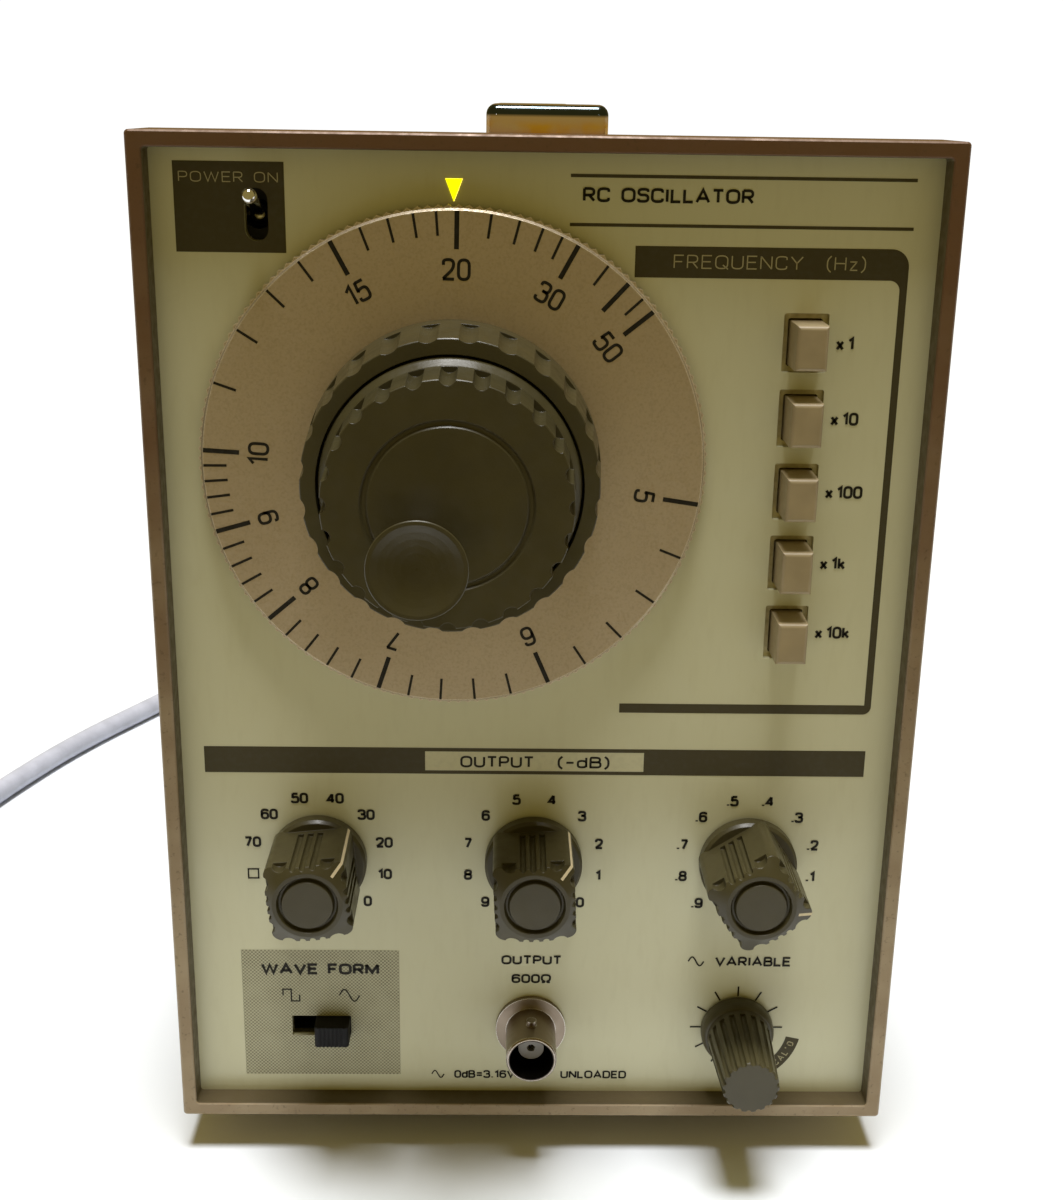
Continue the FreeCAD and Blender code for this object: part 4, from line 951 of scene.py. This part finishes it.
def line_length(points):
    """Length of the smooth line that control points give, in metres."""
    bare = nurbs("measure", points, 0)
    holder = bpy.data.objects.new("measure", bare)
    mesh = bpy.data.meshes.new_from_object(holder)
    total = sum((mesh.vertices[e.vertices[0]].co - mesh.vertices[e.vertices[1]].co).length
                for e in mesh.edges)
    bpy.data.objects.remove(holder)
    bpy.data.meshes.remove(mesh)
    return total


SPRING_TURNS, SPRING_RADIUS, SPRING_WIRE = 5, 2.6, 0.3


def return_spring(number):
    """The wire spring behind one button, as long as its CAD node; nothing here shortens it as the button
    goes in.
    """
    node = "return_spring_%d" % number
    low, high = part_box(node)
    middle = (low + high) / 2
    wire = SPRING_WIRE * MM
    length = high.y - low.y - 2 * wire
    steps, sides = 32 * SPRING_TURNS, 10
    bm = bmesh.new()
    rings = []
    for k in range(steps + 1):
        a = 2 * math.pi * SPRING_TURNS * k / steps
        out = Vector((math.cos(a), 0, math.sin(a)))
        centre = Vector((middle.x, low.y + wire + length * k / steps, middle.z)) + out * SPRING_RADIUS * MM
        ring = []
        for j in range(sides):
            b = 2 * math.pi * j / sides
            ring.append(bm.verts.new(centre + (out * math.cos(b) + Vector((0, math.sin(b), 0))) * wire))
        rings.append(ring)
    for near, far in zip(rings, rings[1:]):
        join_rings(bm, near, far, sides)
    bm.faces.new(rings[0])
    bm.faces.new(rings[-1])
    piece = to_object("wire_spring_%d" % number, bm, zinc_steel, "case", smooth=True)
    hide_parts(node)
    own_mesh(piece)


for number in range(1, 6):
    return_spring(number)


def gland():
    """The ribbed, tapered strain relief at the rear panel."""
    low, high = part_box("strain_relief")
    x, z = (low.x + high.x) / 2, (low.z + high.z) / 2
    tip = (high.y - low.y) / MM
    outline = [(0, 0), (6.4, 0), (6.4, 5.5), (8.5, 5.5), (8.5, 7.6), (8.1, 8.0), (5.7, 9.4)]
    ribs = 6
    pitch = (tip - 12.0) / ribs
    for k in range(ribs):
        start = 10.4 + pitch * k
        end = start + pitch * 0.62
        radius = 5.4 - 1.5 * k / ribs
        outline += [(radius - 0.7, start), (radius, start + 0.25),
                    (radius - 0.12, end - 0.25), (radius - 0.8, end)]
    outline += [(3.5, tip - 0.4), (3.3, tip), (0, tip)]
    bm = bmesh.new()
    lathe(bm, Vector((x, low.y, z)), Vector((0, 1, 0)), outline, 48)
    piece = to_object("ribbed_gland", bm, cord_plastic, "case", smooth=True)
    bevel(piece, 0.12)
    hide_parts("strain_relief")
    return piece


def plug_body(x):
    """A moulded plug with a ribbed boot and grip hollows in its sides."""
    bm = bmesh.new()
    start = Vector(metres(x, PLUG_START, PLUG_HEIGHT))
    outline = [(0, 0), (3.25, 0), (3.3, 0.3)]
    for k in range(7):
        begin = 1.5 + 3.3 * k
        radius = 3.6 + 0.27 * k
        outline += [(radius - 0.5, begin), (radius, begin + 0.3),
                    (radius, begin + 2.0), (radius - 0.5, begin + 2.3)]
    outline += [(5.3, 25.0), (5.4, 26.5), (0, 26.5)]
    lathe(bm, start, Vector((0, 1, 0)), outline, 40)
    sections = [(26.0, 8.5, 6.6), (27.5, 11.2, 7.7), (30.5, 11.95, 7.95),
                (34.0, 11.4, 7.7), (39.0, 10.7, 7.3), (44.0, 11.3, 7.7),
                (47.5, 11.95, 7.95), (51.4, 11.95, 7.95), (52.0, 11.5, 7.5)]
    rings = []
    steps = 40
    for along, half_width, half_height in sections:
        ring = []
        for k in range(steps):
            a = 2 * math.pi * (k + 0.5) / steps
            c, s = math.cos(a), math.sin(a)
            px = math.copysign(abs(c) ** 0.5, c) * half_width
            pz = math.copysign(abs(s) ** 0.5, s) * half_height
            ring.append(bm.verts.new(start + Vector(metres(px, along, pz))))
        rings.append(ring)
    for near, far in zip(rings, rings[1:]):
        join_rings(bm, near, far, steps)
    bm.faces.new(rings[0])
    bm.faces.new(rings[-1])
    return to_object("moulded_plug", bm, cord_plastic, "case", smooth=True)


def plug_blades(x):
    """Two flat blades with rounded tips."""
    bm = bmesh.new()
    spacing, thickness, root = 12.7, 1.5, PLUG_START + 51.9
    outline = [(0, -3.15), (15.2, -3.15), (16.6, -2.2), (17.0, -0.9), (17.0, 0.9), (16.6, 2.2),
               (15.2, 3.15), (0, 3.15)]
    for side in (-1, 1):
        centre_x = x + side * spacing / 2
        faces = []
        for dx in (-thickness / 2, thickness / 2):
            ring = [bm.verts.new(metres(centre_x + dx, root + a, PLUG_HEIGHT + b)) for a, b in outline]
            faces.append(ring)
            bm.faces.new(ring)
        for k in range(len(outline)):
            n = (k + 1) % len(outline)
            bm.faces.new((faces[0][k], faces[0][n], faces[1][n], faces[1][k]))
    piece = to_object("plug_blades", bm, brass, "case")
    bevel(piece, 0.2)
    return piece


def coil_tie():
    """A flat strap round the coil's turns."""
    angle = math.radians(60)
    out = Vector((math.cos(angle), math.sin(angle), 0))
    along = Vector((-math.sin(angle), math.cos(angle), 0))
    centre = Vector((COIL_X, COIL_Y, 0)) + out * COIL_MID_RADIUS
    half_band, half_width, top = COIL_COLUMNS / 2 * CORD_DIAMETER, 3.2, 11.4
    corners = [(-half_band, 0.05), (half_band, 0.05), (half_band + 0.2, 5.4), (half_band - 3.2, top),
               (-half_band + 3.2, top), (-half_band - 0.2, 5.4)]
    bm = bmesh.new()
    rings = []
    for radial, up in rounded(corners, 1.8, 5):
        outward, inward = (radial, up), (radial * 0.92, up * 0.86 + 0.6)
        ring = []
        for (r, u), shift in ((outward, -half_width), (outward, half_width),
                              (inward, half_width), (inward, -half_width)):
            ring.append(bm.verts.new((centre + out * r + along * shift + Vector((0, 0, u))) * MM))
        rings.append(ring)
    for near, far in zip(rings, rings[1:] + rings[:1]):
        join_rings(bm, near, far, 4)
    piece = to_object("coil_tie", bm, black_plastic, "case", smooth=True)
    bevel(piece, 0.25)
    return piece


def rounded(corners, radius, steps):
    """A closed outline with its corners rounded by short curves."""
    points = []
    for k, corner in enumerate(corners):
        here = Vector(corner)
        before = (Vector(corners[k - 1]) - here).normalized() * radius
        after = (Vector(corners[(k + 1) % len(corners)]) - here).normalized() * radius
        for n in range(steps + 1):
            t = n / steps
            points.append(here + before * (1 - t) ** 2 + after * t ** 2)
    return points


def mains_lead():
    points = cord_points()
    curve = nurbs("mains_lead", points, CORD_DIAMETER / 2)
    curve.materials.append(cord_plastic.material)
    lead = bpy.data.objects.new("mains_lead", curve)
    bpy.context.scene.collection.objects.link(lead)
    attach(lead, "case")
    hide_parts("mains_cord", "cord_coil")
    plug_x = points[-1][0]
    body = plug_body(plug_x)
    blades = plug_blades(plug_x)
    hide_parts("mains_plug")
    line_length(points)
    gland()
    coil_tie()


mains_lead()


# ---- floor and light -----------------------------------------------------------------------
def add_floor():
    """A pale table top that ends a little way in front of the instrument, as it would on a bench."""
    finish = Finish("floor", (0.83, 0.87, 0.93), 0.6)
    finish.tint(finish.spread(finish.noise(3, 3.0), 0.35, 0.7, 0.0, 0.5), (0.81, 0.85, 0.90))
    side, back, front = 4.0, 6.0, FACE_Y - 0.15
    mesh = bpy.data.meshes.new("floor")
    mesh.from_pydata([(-side, front, 0), (side, front, 0), (side, back, 0), (-side, back, 0)],
                     [], [(0, 1, 2, 3)])
    mesh.materials.append(finish.material)
    floor = bpy.data.objects.new("floor", mesh)
    bpy.context.scene.collection.objects.link(floor)


def add_sun():
    """A broad light overhead, leaning a little towards the front."""
    data = bpy.data.lights.new("overhead", "SUN")
    data.energy = 3.9
    data.angle = math.radians(18)
    light = bpy.data.objects.new("overhead", data)
    light.location = (0, 0, 1)
    light.rotation_euler = (math.radians(6), 0, 0)
    bpy.context.scene.collection.objects.link(light)


def add_world():
    """A white surround to the eye, which lights the scene only dimly and warmly."""
    world = bpy.data.worlds.new("studio")
    world.use_nodes = True
    tree = world.node_tree
    room = tree.nodes["Background"]
    room.inputs["Color"].default_value = (0.26, 0.20, 0.06, 1)
    seen = tree.nodes.new("ShaderNodeBackground")
    seen.inputs["Color"].default_value = (1, 1, 1, 1)
    seen.inputs["Strength"].default_value = 1.05
    mix = tree.nodes.new("ShaderNodeMixShader")
    path = tree.nodes.new("ShaderNodeLightPath")
    tree.links.new(path.outputs["Is Camera Ray"], mix.inputs[0])
    tree.links.new(room.outputs[0], mix.inputs[1])
    tree.links.new(seen.outputs[0], mix.inputs[2])
    tree.links.new(mix.outputs[0], tree.nodes["World Output"].inputs["Surface"])
    bpy.context.scene.world = world


add_floor()
add_sun()
add_world()
bpy.context.scene.view_settings.view_transform = "Standard"
